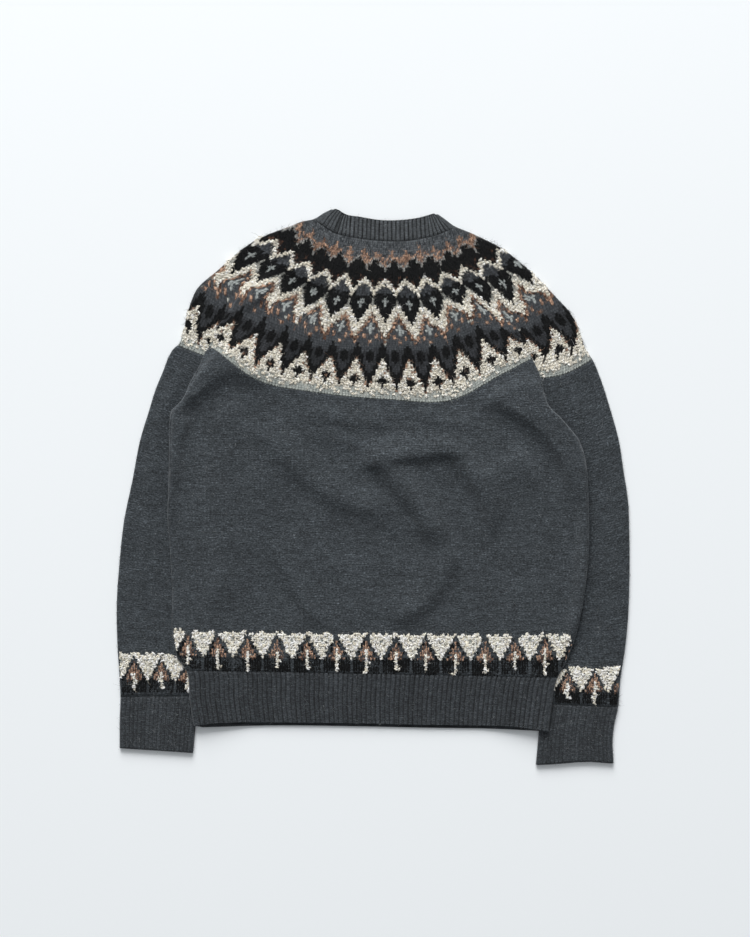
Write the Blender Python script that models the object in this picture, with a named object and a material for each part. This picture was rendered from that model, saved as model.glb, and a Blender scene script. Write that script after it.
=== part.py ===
"""A nordic yoke sweater lying flat on its front, back up, with both sleeves folded down under the body.

Plan tables are in centimetres, x to the garment's left side as -x, y towards the neck. Heights and
thicknesses are in millimetres above the surface that it lies on.
"""
import math

import bpy
import numpy as np

for old in list(bpy.data.objects):
    bpy.data.objects.remove(old, do_unlink=True)

# Cloth, in millimetres
WALL = 2.4            # knitted wall
AIR = 0.8             # between two layers that lie on each other
SEAM = 0.3            # between two pieces at their seam
RIB = 0.9             # from the groove to the crest of a rib
PITCH = WALL + AIR    # from one layer to the next
TURN = PITCH / 2      # radius of a flattened edge, at the middle of the wall
EDGE = TURN + WALL / 2
LOW = WALL / 2        # middle of the layer that rests on the surface
HIGH = LOW + PITCH    # middle of the layer above it
OVER_SLEEVE = 2 * PITCH   # the body climbs this far over the two layers of a sleeve
RAMP = 80.0           # width over which the body comes down again beside a sleeve
TUCK_TURN = 3.0       # shortest length of cloth in one turn of the yoke's tuck
TUCK_FLAT = (1.5, 8.0)    # flat cloth between the tuck's two turns, at its top and at the yoke's edge
TURN_STEPS = 4

# Counts of raised ribs on the face that shows
HEM_RIBS, CUFF_RIBS, NECK_RIBS = 76, 18, 30

# The garment's outer edges from the neckband down to the cuffs, in centimetres
LEFT_OUTLINE = [
    (-5.2, 37.0), (-6.6, 36.3), (-7.7, 35.6), (-9.5, 35.2), (-11.2, 34.5), (-13.9, 33.5),
    (-16.1, 32.4), (-18.0, 31.0), (-20.5, 28.8), (-23.4, 26.1), (-24.2, 24.2), (-24.9, 21.5),
    (-25.8, 18.9), (-26.4, 18.4), (-26.9, 17.6), (-27.7, 15.6), (-28.8, 12.9), (-29.6, 10.3),
    (-30.8, 6.3), (-31.8, 1.1), (-32.9, -4.2), (-33.5, -9.5), (-33.9, -16.1), (-33.8, -20.7),
    (-33.5, -25.3), (-33.4, -27.6), (-33.5, -30.6), (-33.5, -34.5),
]
LEFT_JOINTS = {"neck": 2, "yoke": 12, "cuff": 25}
RIGHT_OUTLINE = [
    (8.4, 36.3), (9.3, 35.7), (10.8, 34.6), (12.5, 33.9), (14.9, 32.8), (17.6, 31.3),
    (19.1, 30.1), (22.0, 27.5), (24.6, 24.8), (25.9, 23.4), (27.2, 20.9), (28.2, 18.2),
    (29.0, 17.0), (30.2, 14.1), (31.4, 10.3), (32.5, 6.3), (33.1, 2.4), (33.7, -1.6),
    (33.9, -6.9), (33.9, -12.1), (33.7, -17.4), (33.3, -21.4), (32.7, -25.3), (32.4, -29.0),
    (31.9, -31.3), (31.7, -33.0), (31.8, -36.3),
]
RIGHT_JOINTS = {"neck": 2, "yoke": 12, "cuff": 23}

# The sleeves' inner edges, hidden under the body, from the yoke down to the cuffs
LEFT_INNER = [
    (-14.7, 11.7), (-14.7, 7.7), (-15.8, 2.4), (-17.4, -3.6), (-19.0, -9.5), (-20.6, -16.1),
    (-22.0, -22.0), (-23.0, -27.5), (-23.4, -30.9), (-23.8, -35.1),
]
RIGHT_INNER = [
    (16.6, 11.4), (16.4, 6.3), (17.2, 1.1), (18.2, -5.5), (19.4, -12.1), (20.7, -18.7),
    (21.9, -24.7), (22.4, -28.5), (21.9, -32.6), (21.5, -36.7),
]
INNER_CUFF = 7

# The edges on which the body folds, from the neck seam through the yoke's tuck down to the hem
LEFT_FOLD = [
    (-5.9, 34.2), (-11.0, 30.5), (-13.9, 29.3), (-16.6, 26.7), (-19.0, 23.4), (-21.0, 20.3),
    (-21.6, 18.7), (-22.3, 17.6), (-22.8, 16.4), (-24.1, 14.0), (-25.3, 11.5), (-26.0, 10.8),
    (-26.6, 10.2), (-26.8, 9.0), (-26.9, 5.0), (-27.0, -0.3), (-27.1, -4.2), (-26.8, -8.2),
    (-26.5, -13.5), (-26.4, -20.1), (-25.9, -22.3), (-24.3, -24.2), (-23.9, -28.0), (-23.5, -31.7),
]
RIGHT_FOLD = [
    (9.4, 33.8), (14.9, 29.4), (16.8, 26.9), (17.7, 22.4), (18.7, 20.7), (20.2, 18.7),
    (21.0, 17.1), (22.0, 14.9), (22.5, 12.8), (23.2, 10.8), (24.6, 9.4), (26.0, 7.8),
    (27.1, 6.4), (27.8, 4.6), (28.2, 2.4), (28.4, -1.1), (28.5, -6.1), (28.2, -11.5),
    (27.5, -16.2), (26.4, -20.7), (25.3, -23.0), (23.7, -25.1), (23.5, -28.6), (23.1, -32.3),
]
FOLD_YOKE, FOLD_HEM = 6, 21      # the knots at which the yoke ends and the hem's rib begins
FOLD_CORNER = {"left": 12, "right": 9}         # the knot at each underarm
FOLD_DEPTH = (0.0, 0.275, 0.38, 0.55, 0.68, 0.875, 1.0, 1.12)   # yoke depth of knots 0 to 7

# Rings of the yoke: depth from neck to body, share of the left and the right shoulder edge that
# they have reached, then five points across the back
YOKE_RINGS = [
    (0.000, 0.000, 0.000, (-4.6, 33.5), (-2.2, 33.0), (1.6, 32.6), (5.1, 32.7), (8.1, 33.3)),
    (0.275, 0.280, 0.287, (-7.3, 28.3), (-3.7, 27.3), (1.6, 26.7), (5.9, 26.8), (10.6, 28.0)),
    (0.380, 0.395, 0.370, (-9.6, 26.9), (-5.0, 24.9), (1.6, 24.6), (6.9, 24.4), (11.9, 26.3)),
    (0.550, 0.595, 0.555, (-11.9, 24.2), (-6.3, 21.8), (1.6, 20.9), (7.9, 20.9), (13.1, 23.7)),
    (0.680, 0.720, 0.705, (-13.3, 20.9), (-8.1, 18.9), (1.6, 18.2), (8.6, 18.5), (14.1, 20.7)),
    (0.875, 0.880, 0.895, (-13.9, 16.6), (-8.3, 15.4), (1.6, 14.1), (9.5, 14.3), (15.0, 16.8)),
    (1.000, 1.000, 1.000, (-14.5, 13.9), (-8.3, 12.7), (1.6, 11.7), (10.8, 11.7), (16.5, 14.7)),
]
RING_SHARES = (0.0, 0.187, 0.326, 0.544, 0.747, 0.888, 1.0)
YOKE_DEPTHS = (0.0, 0.1, 0.2, 0.3, 0.4, 0.5, 0.59, 0.68, 0.76, 0.84, 0.92, 1.0)
FRONT_NECK = [(6.9, 31.2), (1.6, 29.8), (-3.7, 31.4)]      # front neck seam, right to left
FRONT_YOKE = [(16.6, 11.4), (1.6, 9.4), (-14.7, 11.7)]     # front lower edge, right to left
CAP_SAG = {"left": 0.0, "right": 8.0}          # the sleeve side of the last ring hangs this far

NECK_TOP = [
    (-5.2, 37.0), (-3.9, 36.2), (-1.7, 35.8), (0.9, 35.4), (3.6, 35.4), (6.1, 35.7), (8.4, 36.3),
]
FRONT_NECK_TOP = [(-5.2, 37.0), (-3.2, 33.9), (1.6, 32.3), (6.1, 33.7), (8.4, 36.3)]
HEM_END = [
    (-23.5, -31.7), (-19.9, -31.4), (-12.3, -31.3), (-2.8, -31.4), (6.7, -31.6), (13.9, -31.7),
    (18.6, -31.8), (23.1, -32.3),
]
FRONT_HEM_END = [
    (-23.5, -31.7), (-12.3, -31.8), (-2.8, -31.9), (6.7, -32.1), (18.6, -32.3), (23.1, -32.3),
]
FRONT_RISE = {"left": (-17.4, 13.4), "right": (18.6, 12.6)}   # hidden, below the tuck
LEFT_CUFF_END = [(-33.5, -34.5), (-28.6, -35.0), (-23.8, -35.1)]
RIGHT_CUFF_END = [(21.5, -36.9), (26.7, -37.0), (31.8, -36.6)]

# Where the body lies over a sleeve: y, then x of the sleeve's inner edge on both sides, and the
# share of the full climb
OVER = [
    (26.8, -16.2, 16.4, 0.0), (24.0, -17.0, 17.0, 0.35), (21.0, -17.4, 17.4, 0.9),
    (19.0, -17.6, 17.4, 1.0), (15.6, -16.0, 16.8, 1.0), (11.6, -14.3, 16.2, 1.0),
    (2.4, -15.2, 16.6, 1.0), (-9.5, -18.7, 18.7, 1.0), (-21.4, -21.6, 21.1, 1.0),
    (-32.6, -23.0, 21.6, 1.0),
]

# Soft shape of the upper wall: from point to point in centimetres, rise and half width in mm
SWELLS = [
    ((0.0, 6.0), (0.0, -14.0), 4.5, 120.0),
    ((1.0, 22.0), (1.0, 18.0), 2.5, 90.0),
    ((24.5, 4.0), (25.0, -6.0), 2.5, 26.0),
    ((13.4, 6.6), (16.4, -1.0), 2.0, 22.0),
    ((21.8, 12.5), (25.2, 8.2), 1.6, 14.0),
]
CREASES = [
    ((-2.0, 2.0), (1.5, 2.9), 2.6, 9.0),
    ((1.5, 2.9), (10.4, 4.1), 2.8, 9.0),
    ((0.8, 1.1), (5.0, -3.6), 2.0, 8.0),
    ((19.0, 10.2), (22.4, 5.6), 4.5, 9.0),
    ((9.0, -14.1), (5.0, -17.4), 2.4, 9.0),
    ((-10.4, -14.8), (-8.6, -17.4), 1.6, 8.0),
    ((-21.5, 15.5), (-24.5, 10.0), 1.6, 7.0),
]
FOLD_FADE = 22.0       # the soft shape starts this far inside a fold
SLEEVE_SWELL = 2.4     # rise of a sleeve's upper wall where it shows

# Colours of the yarns, linear red, green and blue
CHARCOAL = (0.052, 0.060, 0.066)
CHARCOAL_RIB = (0.044, 0.050, 0.055)
YOKE_MIX = (0.20, 0.18, 0.16)


def ease(x):
    x = np.clip(x, 0.0, 1.0)
    return x * x * (3 - 2 * x)


def smooth(knots, values, at):
    """Values at `at` on a curve through the knots, with each knot's slope taken from both sides."""
    knots = np.asarray(knots, float)
    values = np.asarray(values, float)
    slope = np.gradient(values, knots, axis=0)
    at = np.clip(np.asarray(at, float), knots[0], knots[-1])
    i = np.clip(np.searchsorted(knots, at, side="right") - 1, 0, len(knots) - 2)
    span = knots[i + 1] - knots[i]
    s = (at - knots[i]) / span
    if values.ndim > 1:
        span, s = span[..., None], s[..., None]
    held = (1 + 2 * s) * (1 - s) ** 2 * values[i] + s * s * (3 - 2 * s) * values[i + 1]
    return held + span * (s * (1 - s) ** 2 * slope[i] + s * s * (s - 1) * slope[i + 1])


def lengths(points):
    points = np.asarray(points, float)
    return np.r_[0.0, np.cumsum(np.linalg.norm(np.diff(points, axis=0), axis=1))]


def through(points_cm, count):
    """Evenly spaced points on a curve through the given ones, in millimetres."""
    points = np.array(points_cm, float) * 10
    knots = lengths(points)
    return smooth(knots, points, np.linspace(0, knots[-1], count))


def along(path, count):
    """Evenly spaced points on the straight runs of a path."""
    knots = lengths(path)
    at = np.linspace(0, knots[-1], count)
    return np.stack([np.interp(at, knots, path[:, k]) for k in (0, 1)], axis=1)


def between(path, start, end):
    """The path stretched to run from one x to another."""
    share = (path[:, 0] - path[0, 0]) / (path[-1, 0] - path[0, 0])
    return np.stack([start + share * (end - start), path[:, 1]], axis=1)


def beside(path, distance):
    """The path moved to its right-hand side."""
    step = np.gradient(path, axis=0)
    step /= np.linalg.norm(step, axis=1)[:, None]
    return path + distance * np.stack([step[:, 1], -step[:, 0]], axis=1)


class Edge:
    """A folded edge in plan. `side` is 1 where the cloth lies towards +x, -1 where towards -x."""

    def __init__(self, points_cm, side):
        self.points = np.array(points_cm, float) * 10
        self.knots = lengths(self.points)
        self.side = side

    def at(self, s):
        return smooth(self.knots, self.points, s)

    def inward(self, s, window=10.0):
        run = self.at(np.asarray(s) + window) - self.at(np.asarray(s) - window)
        run /= np.linalg.norm(run, axis=-1)[..., None]
        return self.side * np.stack([-run[..., 1], run[..., 0]], axis=-1)

    def between(self, start, end, count):
        return np.linspace(self.knots[start], self.knots[end], count)

    def inset(self, s):
        return self.at(s) + EDGE * self.inward(s)


left_outline = Edge(LEFT_OUTLINE, 1)
right_outline = Edge(RIGHT_OUTLINE, -1)
left_inner = Edge(LEFT_INNER, -1)
right_inner = Edge(RIGHT_INNER, 1)
left_fold = Edge(LEFT_FOLD, 1)
right_fold = Edge(RIGHT_FOLD, -1)


def near(x, y, run):
    """Distance from a run between two points in centimetres."""
    (ax, ay), (bx, by) = np.array(run, float) * 10
    share = ((x - ax) * (bx - ax) + (y - ay) * (by - ay)) / ((bx - ax) ** 2 + (by - ay) ** 2)
    share = np.clip(share, 0, 1)
    return np.hypot(x - ax - share * (bx - ax), y - ay - share * (by - ay))


def climb(x, y):
    """How far the body is lifted by the sleeves under it."""
    table = np.array(OVER)[::-1]
    left, right, share = (np.interp(y, table[:, 0] * 10, table[:, k]) for k in (1, 2, 3))
    beside_left = ease(1 - (x - left * 10) / RAMP)
    beside_right = ease(1 - (right * 10 - x) / RAMP)
    return OVER_SLEEVE * share * np.maximum(beside_left, beside_right)


def swell(x, y):
    """Rise of the body's upper wall: broad swells less the creases pressed into them."""
    rise = sum(h * np.exp(-0.5 * (near(x, y, (a, b)) / w) ** 2) for a, b, h, w in SWELLS)
    for a, b, depth, width in CREASES:
        rise = rise - depth * np.exp(-0.5 * (near(x, y, (a, b)) / width) ** 2)
    left = np.interp(y, left_fold.points[::-1, 1], left_fold.points[::-1, 0])
    right = np.interp(y, right_fold.points[::-1, 1], right_fold.points[::-1, 0])
    fade = ease((x - left) / FOLD_FADE) * ease((right - x) / FOLD_FADE)
    ends = ease((340 - y) / 60) * ease((y + 320) / 70)
    return np.maximum(rise, 0.0) * fade * ends


def lifted(plan, height):
    return np.concatenate([plan, np.broadcast_to(height, plan.shape[:-1])[..., None]], axis=-1)


def upper(plan):
    return lifted(plan, HIGH + climb(plan[..., 0], plan[..., 1]) + swell(plan[..., 0], plan[..., 1]))


def patch(low, high, left, right):
    """Plan points between four edges: low and high run left to right, left and right low to high."""
    v = np.linspace(0, 1, len(left))[:, None, None]
    u = np.linspace(0, 1, len(low))[None, :, None]
    rows = (1 - v) * low[None] + v * high[None]
    columns = (1 - u) * left[:, None] + u * right[:, None]
    corners = (1 - v) * ((1 - u) * low[0] + u * low[-1]) + v * ((1 - u) * high[0] + u * high[-1])
    return rows + columns - corners


TURN_ANGLES = np.linspace(0, math.pi, TURN_STEPS + 1)[1:-1]


def turn(start, end, outward):
    """The points of a half turn between two layers, without its two ends."""
    middle, half = (start + end) / 2, (start - end) / 2
    points = [middle + half * math.cos(a) for a in TURN_ANGLES]
    for point, angle in zip(points, TURN_ANGLES):
        point[..., :2] += outward * TURN * math.sin(angle)
    return np.stack(points, axis=-2)


def tube(top, under, left_in, right_in, known=None):
    """Closed loops and the directions out of them: up the left turn, over, down the right, back.

    `known` gives the directions along the top where they are already known, and nan elsewhere.
    """
    left = turn(under[:, 0], top[:, 0], -left_in)
    right = turn(top[:, -1], under[:, -1], -right_in)
    loops = np.concatenate([left, top, right, under[:, ::-1]], axis=1)
    across = np.roll(loops, -1, axis=1) - np.roll(loops, 1, axis=1)
    normal = np.cross(across, np.gradient(loops, axis=0))
    normal /= np.linalg.norm(normal, axis=2)[..., None]
    normal *= np.sign(normal[0, len(TURN_ANGLES) + top.shape[1] // 2, 2])
    for k, angle in enumerate(TURN_ANGLES):
        normal[:, k] = lifted(-left_in * math.sin(angle), -math.cos(angle))
        k += len(TURN_ANGLES) + top.shape[1]
        normal[:, k] = lifted(-right_in * math.sin(angle), math.cos(angle))
    if known is not None:
        over = normal[:, len(TURN_ANGLES):len(TURN_ANGLES) + top.shape[1]]
        over[:] = np.where(np.isnan(known), over, known)
    return loops, normal


def cloth(name, middle, normal, colour, rib=None, closed=True):
    """One knitted piece: a wall on both sides of its middle surface, with its ends closed."""
    rows, columns = middle.shape[:2]
    raised = np.zeros(columns) if rib is None else rib
    outer = middle + normal * (WALL / 2 + raised)[None, :, None]
    inner = middle - normal * WALL / 2
    points = np.concatenate([outer.reshape(-1, 3), inner.reshape(-1, 3)]) * 0.001
    faces = []
    inside = rows * columns
    spans = columns if closed else columns - 1
    for j in range(rows - 1):
        for i in range(spans):
            a, b = j * columns + i, j * columns + (i + 1) % columns
            faces.append((a, b, b + columns, a + columns))
            faces.append((b + inside, a + inside, a + columns + inside, b + columns + inside))
    last = (rows - 1) * columns
    for i in range(spans):
        k = (i + 1) % columns
        faces.append((k, i, i + inside, k + inside))
        faces.append((last + i, last + k, last + k + inside, last + i + inside))
    if not closed:
        for j in range(rows - 1):
            a, b = j * columns, (j + 1) * columns
            faces.append((a, b, b + inside, a + inside))
            a, b = a + columns - 1, b + columns - 1
            faces.append((b, a, a + inside, b + inside))
    mesh = bpy.data.meshes.new(name)
    mesh.from_pydata([tuple(p) for p in points], [], faces)
    corners = points[np.array([(f[0], f[1], f[2]) for f in faces] + [(f[0], f[2], f[3]) for f in faces])]
    if np.linalg.det(corners).sum() < 0:
        mesh.flip_normals()
    mesh.update()
    mesh.shade_smooth()
    mesh.set_sharp_from_angle(angle=math.radians(50))
    material = bpy.data.materials.new(name)
    material.use_nodes = True
    shader = material.node_tree.nodes["Principled BSDF"]
    shader.inputs["Base Color"].default_value = (*colour, 1.0)
    shader.inputs["Roughness"].default_value = 0.9
    mesh.materials.append(material)
    piece = bpy.data.objects.new(name, mesh)
    garment.objects.link(piece)
    return piece


def ribs(loops, columns):
    """Crests and grooves in turn on the columns of the upper wall, flat elsewhere."""
    rib = np.zeros(loops.shape[1])
    inner = np.arange(1, columns)
    rib[inner + len(TURN_ANGLES)] = np.where(inner % 2, RIB / 2, -RIB / 2)
    return rib


def tuck(depth):
    """The yoke's tuck at one depth, sleeve first: distance inside the fold and height, and slope."""
    angle = max(math.pi * float(ease((depth - 0.42) / 0.40)), 1e-3)
    flat = TUCK_FLAT[0] + (TUCK_FLAT[1] - TUCK_FLAT[0]) * float(ease((depth - 0.8) / 0.2))
    radius = max(TURN, TUCK_TURN / angle)
    steps = np.linspace(0, angle, TURN_STEPS + 1)
    first = np.stack([radius * np.sin(steps), radius * (1 - np.cos(steps))], axis=1)
    start = first[-1] + flat * np.array([math.cos(angle), math.sin(angle)])
    second = start + radius * np.stack(
        [math.sin(angle) - np.sin(angle - steps), np.cos(angle - steps) - math.cos(angle)], axis=1)
    points = np.concatenate([first, second])
    points[:, 0] += EDGE - points[-1, 0]
    return points, np.concatenate([steps, angle - steps])


def crease(fold, depth, toward):
    """The tuck's points and the directions out of them, from the sleeve's layer up to the body's."""
    profile, slopes = tuck(depth)
    folded = slopes.max() / math.pi
    slip = 0.12 * float(ease((depth - 0.45) / 0.55))
    even = np.linspace(1, 0, len(profile))
    shares = even + float(ease((depth - 0.7) / 0.3)) * (np.where(even > 0.5, 1.0, 0.0) - even)
    s = np.interp(depth + slip * shares, FOLD_DEPTH, fold.knots[:len(FOLD_DEPTH)])
    inward = folded * fold.inward(s) + (1 - folded) * toward
    inward /= np.linalg.norm(inward, axis=1)[:, None]
    points = lifted(fold.at(s) + inward * profile[:, :1], HIGH + profile[:, 1])
    return points, lifted(-inward * np.sin(slopes)[:, None], np.cos(slopes))


def ring(depth):
    """One ring of the yoke as named runs of points, each from left to right."""
    table = [(row[0], row[1], row[2], *np.ravel(row[3:])) for row in YOKE_RINGS]
    table = np.array(table)
    row = smooth(table[:, 0], table[:, 1:], depth)
    across = row[2:].reshape(5, 2) * 10
    ends = {}
    for name, edge, joints, share in (("left", left_outline, LEFT_JOINTS, row[0]),
                                      ("right", right_outline, RIGHT_JOINTS, row[1])):
        top, bottom = edge.knots[joints["neck"]], edge.knots[joints["yoke"]]
        ends[name] = top + share * (bottom - top)
    start = left_outline.inset(ends["left"])
    finish = right_outline.inset(ends["right"])
    run = (across[0] - start) / np.linalg.norm(across[0] - start)
    left_tuck, left_facing = crease(left_fold, depth, run)
    run = (across[-1] - finish) / np.linalg.norm(across[-1] - finish)
    right_tuck, right_facing = (part[::-1] for part in crease(right_fold, depth, run))
    spread = np.linspace(0, 1, BACK_COLUMNS + 1)
    points = np.concatenate([left_tuck[-1:, :2], across, right_tuck[:1, :2]])
    back = upper(smooth(RING_SHARES, points, spread))
    back[:, 2] += (left_tuck[-1, 2] - back[0, 2]) * ease(1 - spread / 0.1)
    back[:, 2] += (right_tuck[0, 2] - back[-1, 2]) * ease(1 - (1 - spread) / 0.1)
    share = np.linspace(0, 1, CAP_COLUMNS + 1)[:, None]
    hang = np.array([0.0, -1.0]) * np.sin(math.pi * share) * float(ease((depth - 0.88) / 0.12))
    left_cap = start + (left_tuck[0, :2] - start) * share + CAP_SAG["left"] * hang
    right_cap = right_tuck[-1, :2] + (finish - right_tuck[-1, :2]) * share + CAP_SAG["right"] * hang
    middle = (1 - depth) * np.array(FRONT_NECK) + depth * np.array(FRONT_YOKE)
    path = np.concatenate([[finish], middle * 10, [start]])
    knots = lengths(path)
    stops = np.concatenate([np.linspace(0, knots[1], 4), np.linspace(knots[1], knots[3], 11)[1:],
                            np.linspace(knots[3], knots[4], 4)[1:]])
    front = smooth(knots, path, stops)[::-1]
    return {
        "left cap": lifted(left_cap, HIGH), "left tuck": left_tuck, "back": back,
        "right tuck": right_tuck, "right cap": lifted(right_cap, HIGH),
        "front": lifted(front, LOW), "left facing": left_facing, "right facing": right_facing,
        "left in": left_outline.inward(ends["left"]), "right in": right_outline.inward(ends["right"]),
    }


BACK_COLUMNS, CAP_COLUMNS, SLEEVE_ROWS = 28, 4, 15

garment = bpy.data.collections.new("nordic_yoke_sweater")
bpy.context.scene.collection.children.link(garment)

# Yoke: one ring of cloth round the neck, tucked where the body folds over each sleeve
rings = [ring(depth) for depth in YOKE_DEPTHS]
order = ("left cap", "left tuck", "back", "right tuck", "right cap")
top = np.stack([np.concatenate([r[k] if k.endswith("tuck") else r[k][1:-1] if k == "back" else
                                r[k][:-1] if k == "left cap" else r[k][1:] for k in order])
                for r in rings])
under = np.stack([r["front"] for r in rings])
left_in = np.stack([r["left in"] for r in rings])
right_in = np.stack([r["right in"] for r in rings])
known = np.full(top.shape, np.nan)
known[:, CAP_COLUMNS:CAP_COLUMNS + 2 * TURN_STEPS + 2] = np.stack([r["left facing"] for r in rings])
known[:, -CAP_COLUMNS - 2 * TURN_STEPS - 2:-CAP_COLUMNS] = np.stack([r["right facing"] for r in rings])
cloth("yoke", *tube(top, under, left_in, right_in, known), YOKE_MIX)
yoke_edge = rings[-1]
neck_edge = rings[0]


def below_tuck(fold, points, side):
    """The front panel's edge below the yoke's tuck, from the fold towards the front yoke."""
    s = fold.knots[len(FOLD_DEPTH) - 1]
    run = fold.at(s + 5) - fold.at(s - 5)
    run *= 2 * SEAM / np.linalg.norm(run)
    inner = points[TURN_STEPS // 2, :2] + WALL * fold.inward(s)
    return np.stack([points[TURN_STEPS, :2] + run, inner + run, np.array(FRONT_RISE[side]) * 10])


def body():
    """The body's tube from the hem's rib up to the yoke, cut into two panels at its side folds."""
    left_s = np.concatenate([left_fold.between(FOLD_HEM, FOLD_CORNER["left"], 13),
                             left_fold.between(FOLD_CORNER["left"], FOLD_YOKE, 7)[1:]])
    right_s = np.concatenate([right_fold.between(FOLD_HEM, FOLD_CORNER["right"], 13),
                              right_fold.between(FOLD_CORNER["right"], FOLD_YOKE, 7)[1:]])
    left_side, right_side = left_fold.inset(left_s), right_fold.inset(right_s)
    low = along(np.stack([left_side[0], right_side[0]]), BACK_COLUMNS + 1)
    high = beside(yoke_edge["back"][:, :2], SEAM)
    left_side[-1], right_side[-1] = high[0], high[-1]
    back = patch(low, high, left_side, right_side)
    seam = along(beside(yoke_edge["front"][3:-3, :2], SEAM), 11)
    seam = np.concatenate([seam[:-1].repeat(2, axis=0)[:20], seam[-1:]])
    seam[1:-1:2] = (seam[:-2:2] + seam[2::2]) / 2
    left_part = below_tuck(left_fold, yoke_edge["left tuck"], "left")
    right_part = below_tuck(right_fold, yoke_edge["right tuck"][::-1], "right")
    front_high = np.concatenate([high[:1], left_part, seam, right_part[::-1], high[-1:]])
    front = patch(low, front_high, left_side, right_side)
    loops, normal = tube(upper(back), lifted(front, LOW + climb(front[..., 0], front[..., 1])),
                         left_fold.inward(left_s), right_fold.inward(right_s))
    first = len(TURN_ANGLES) // 2
    last = len(TURN_ANGLES) + back.shape[1] + first
    up = slice(first, last + 1)
    back_loops, back_normal = loops[:, up].copy(), normal[:, up].copy()
    down = list(range(last, loops.shape[1])) + list(range(first + 1))
    front_loops, front_normal = loops[::2, down].copy(), normal[::2, down].copy()
    for grid, shift in ((back_loops, SEAM / 2), (front_loops, -SEAM / 2)):
        grid[:, (0, -1), 2] += shift
    cloth("back_panel", back_loops, back_normal, CHARCOAL, closed=False)
    cloth("front_panel", front_loops, front_normal, CHARCOAL, closed=False)
    return low


def hem(seam_line):
    """The ribbed tube below the body. Its front hangs a little lower than its back."""
    left_s = left_fold.between(-1, FOLD_HEM, 4)
    right_s = right_fold.between(-1, FOLD_HEM, 4)
    left_side, right_side = left_fold.inset(left_s), right_fold.inset(right_s)
    high = beside(seam_line, SEAM)
    columns = 2 * HEM_RIBS
    ends = between(through(HEM_END, 41), left_side[0, 0], right_side[0, 0])
    low = between(through(FRONT_HEM_END, 29), left_side[0, 0], right_side[0, 0])
    left_side[0], right_side[0] = ends[0], ends[-1]
    low[0], low[-1] = ends[0], ends[-1]
    left_side[-1], right_side[-1] = high[0], high[-1]
    top_plan = patch(along(ends, columns + 1), along(high, columns + 1), left_side, right_side)
    under_plan = patch(low, along(high, 29), left_side, right_side)
    under = lifted(under_plan, LOW + climb(under_plan[..., 0], under_plan[..., 1]))
    loops, normal = tube(upper(top_plan), under, left_fold.inward(left_s), right_fold.inward(right_s))
    cloth("hem_rib", loops, normal, CHARCOAL_RIB, ribs(loops, columns))


def sleeve(side):
    """A sleeve and its ribbed cuff: flattened tubes from the yoke's edge to the cuff's end."""
    left = side == "left"
    outer, inner = (left_outline, left_inner) if left else (right_outline, right_inner)
    joints = LEFT_JOINTS if left else RIGHT_JOINTS
    cap, front = yoke_edge[side + " cap"][:, :2], yoke_edge["front"][:, :2]
    front = front[:4] if left else front[-4:]
    hidden = np.array([(-19.5, 15.3), (-16.9, 13.2)] if left else [(16.9, 11.9), (19.4, 13.4)]) * 10
    outer_s = outer.between(joints["cuff"], joints["yoke"], SLEEVE_ROWS)
    inner_s = inner.between(INNER_CUFF, 0, SLEEVE_ROWS)
    outer_side, inner_side = outer.inset(outer_s), inner.inset(inner_s)
    if left:
        high = np.concatenate([cap, along(np.concatenate([cap[-1:], hidden, inner_side[-1:]]), 5)[1:]])
        under_high = np.concatenate([front[:-1], inner_side[-1:]])
    else:
        high = np.concatenate([along(np.concatenate([inner_side[-1:], hidden, cap[:1]]), 5)[:-1], cap])
        under_high = np.concatenate([inner_side[-1:], front[1:]])
    high, under_high = beside(high, SEAM), beside(under_high, SEAM)
    tip = 0 if left else -1
    under_high[tip] = high[tip]
    under_high[-1 - tip] = high[-1 - tip]
    outer_side[-1], inner_side[-1] = high[tip], high[-1 - tip]
    sides = (outer_side, inner_side) if left else (inner_side, outer_side)
    turns = (outer.inward(outer_s), inner.inward(inner_s))
    turns = turns if left else turns[::-1]
    low = along(np.stack([sides[0][0], sides[1][0]]), 9)
    plan = patch(low, high, *sides)
    under_plan = patch(along(low, 4), under_high, *sides)
    fold = left_fold if left else right_fold
    shows = np.interp(plan[..., 1], fold.points[::-1, 1], fold.points[::-1, 0])
    outside = outer_side[:, :1]
    share = (plan[..., 0] - outside) / (shows - outside)
    down = np.linspace(0, 1, SLEEVE_ROWS)[:, None]
    rise = np.sin(math.pi * np.clip(share, 0, 1)) ** 2 * ease(down / 0.15) * ease((1 - down) / 0.15)
    rise *= SLEEVE_SWELL
    loops, normal = tube(lifted(plan, HIGH + rise), lifted(under_plan, LOW), *turns)
    cloth("sleeve_" + side, loops, normal, CHARCOAL)

    outer_s = outer.between(-1, joints["cuff"], 3)
    inner_s = inner.between(-1, INNER_CUFF, 3)
    outer_side, inner_side = outer.inset(outer_s), inner.inset(inner_s)
    sides = (outer_side, inner_side) if left else (inner_side, outer_side)
    turns = (outer.inward(outer_s), inner.inward(inner_s))
    turns = turns if left else turns[::-1]
    end = through(LEFT_CUFF_END if left else RIGHT_CUFF_END, 21)
    end = between(end, sides[0][0, 0], sides[1][0, 0])
    high = beside(low, SEAM)
    sides[0][0], sides[1][0] = end[0], end[-1]
    sides[0][-1], sides[1][-1] = high[0], high[-1]
    columns = 2 * CUFF_RIBS
    plan = patch(along(end, columns + 1), along(high, columns + 1), *sides)
    under_plan = patch(along(end, 5), along(high, 5), *sides)
    loops, normal = tube(lifted(plan, HIGH), lifted(under_plan, LOW), *turns)
    cloth("cuff_" + side, loops, normal, CHARCOAL_RIB, ribs(loops, columns))


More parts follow.
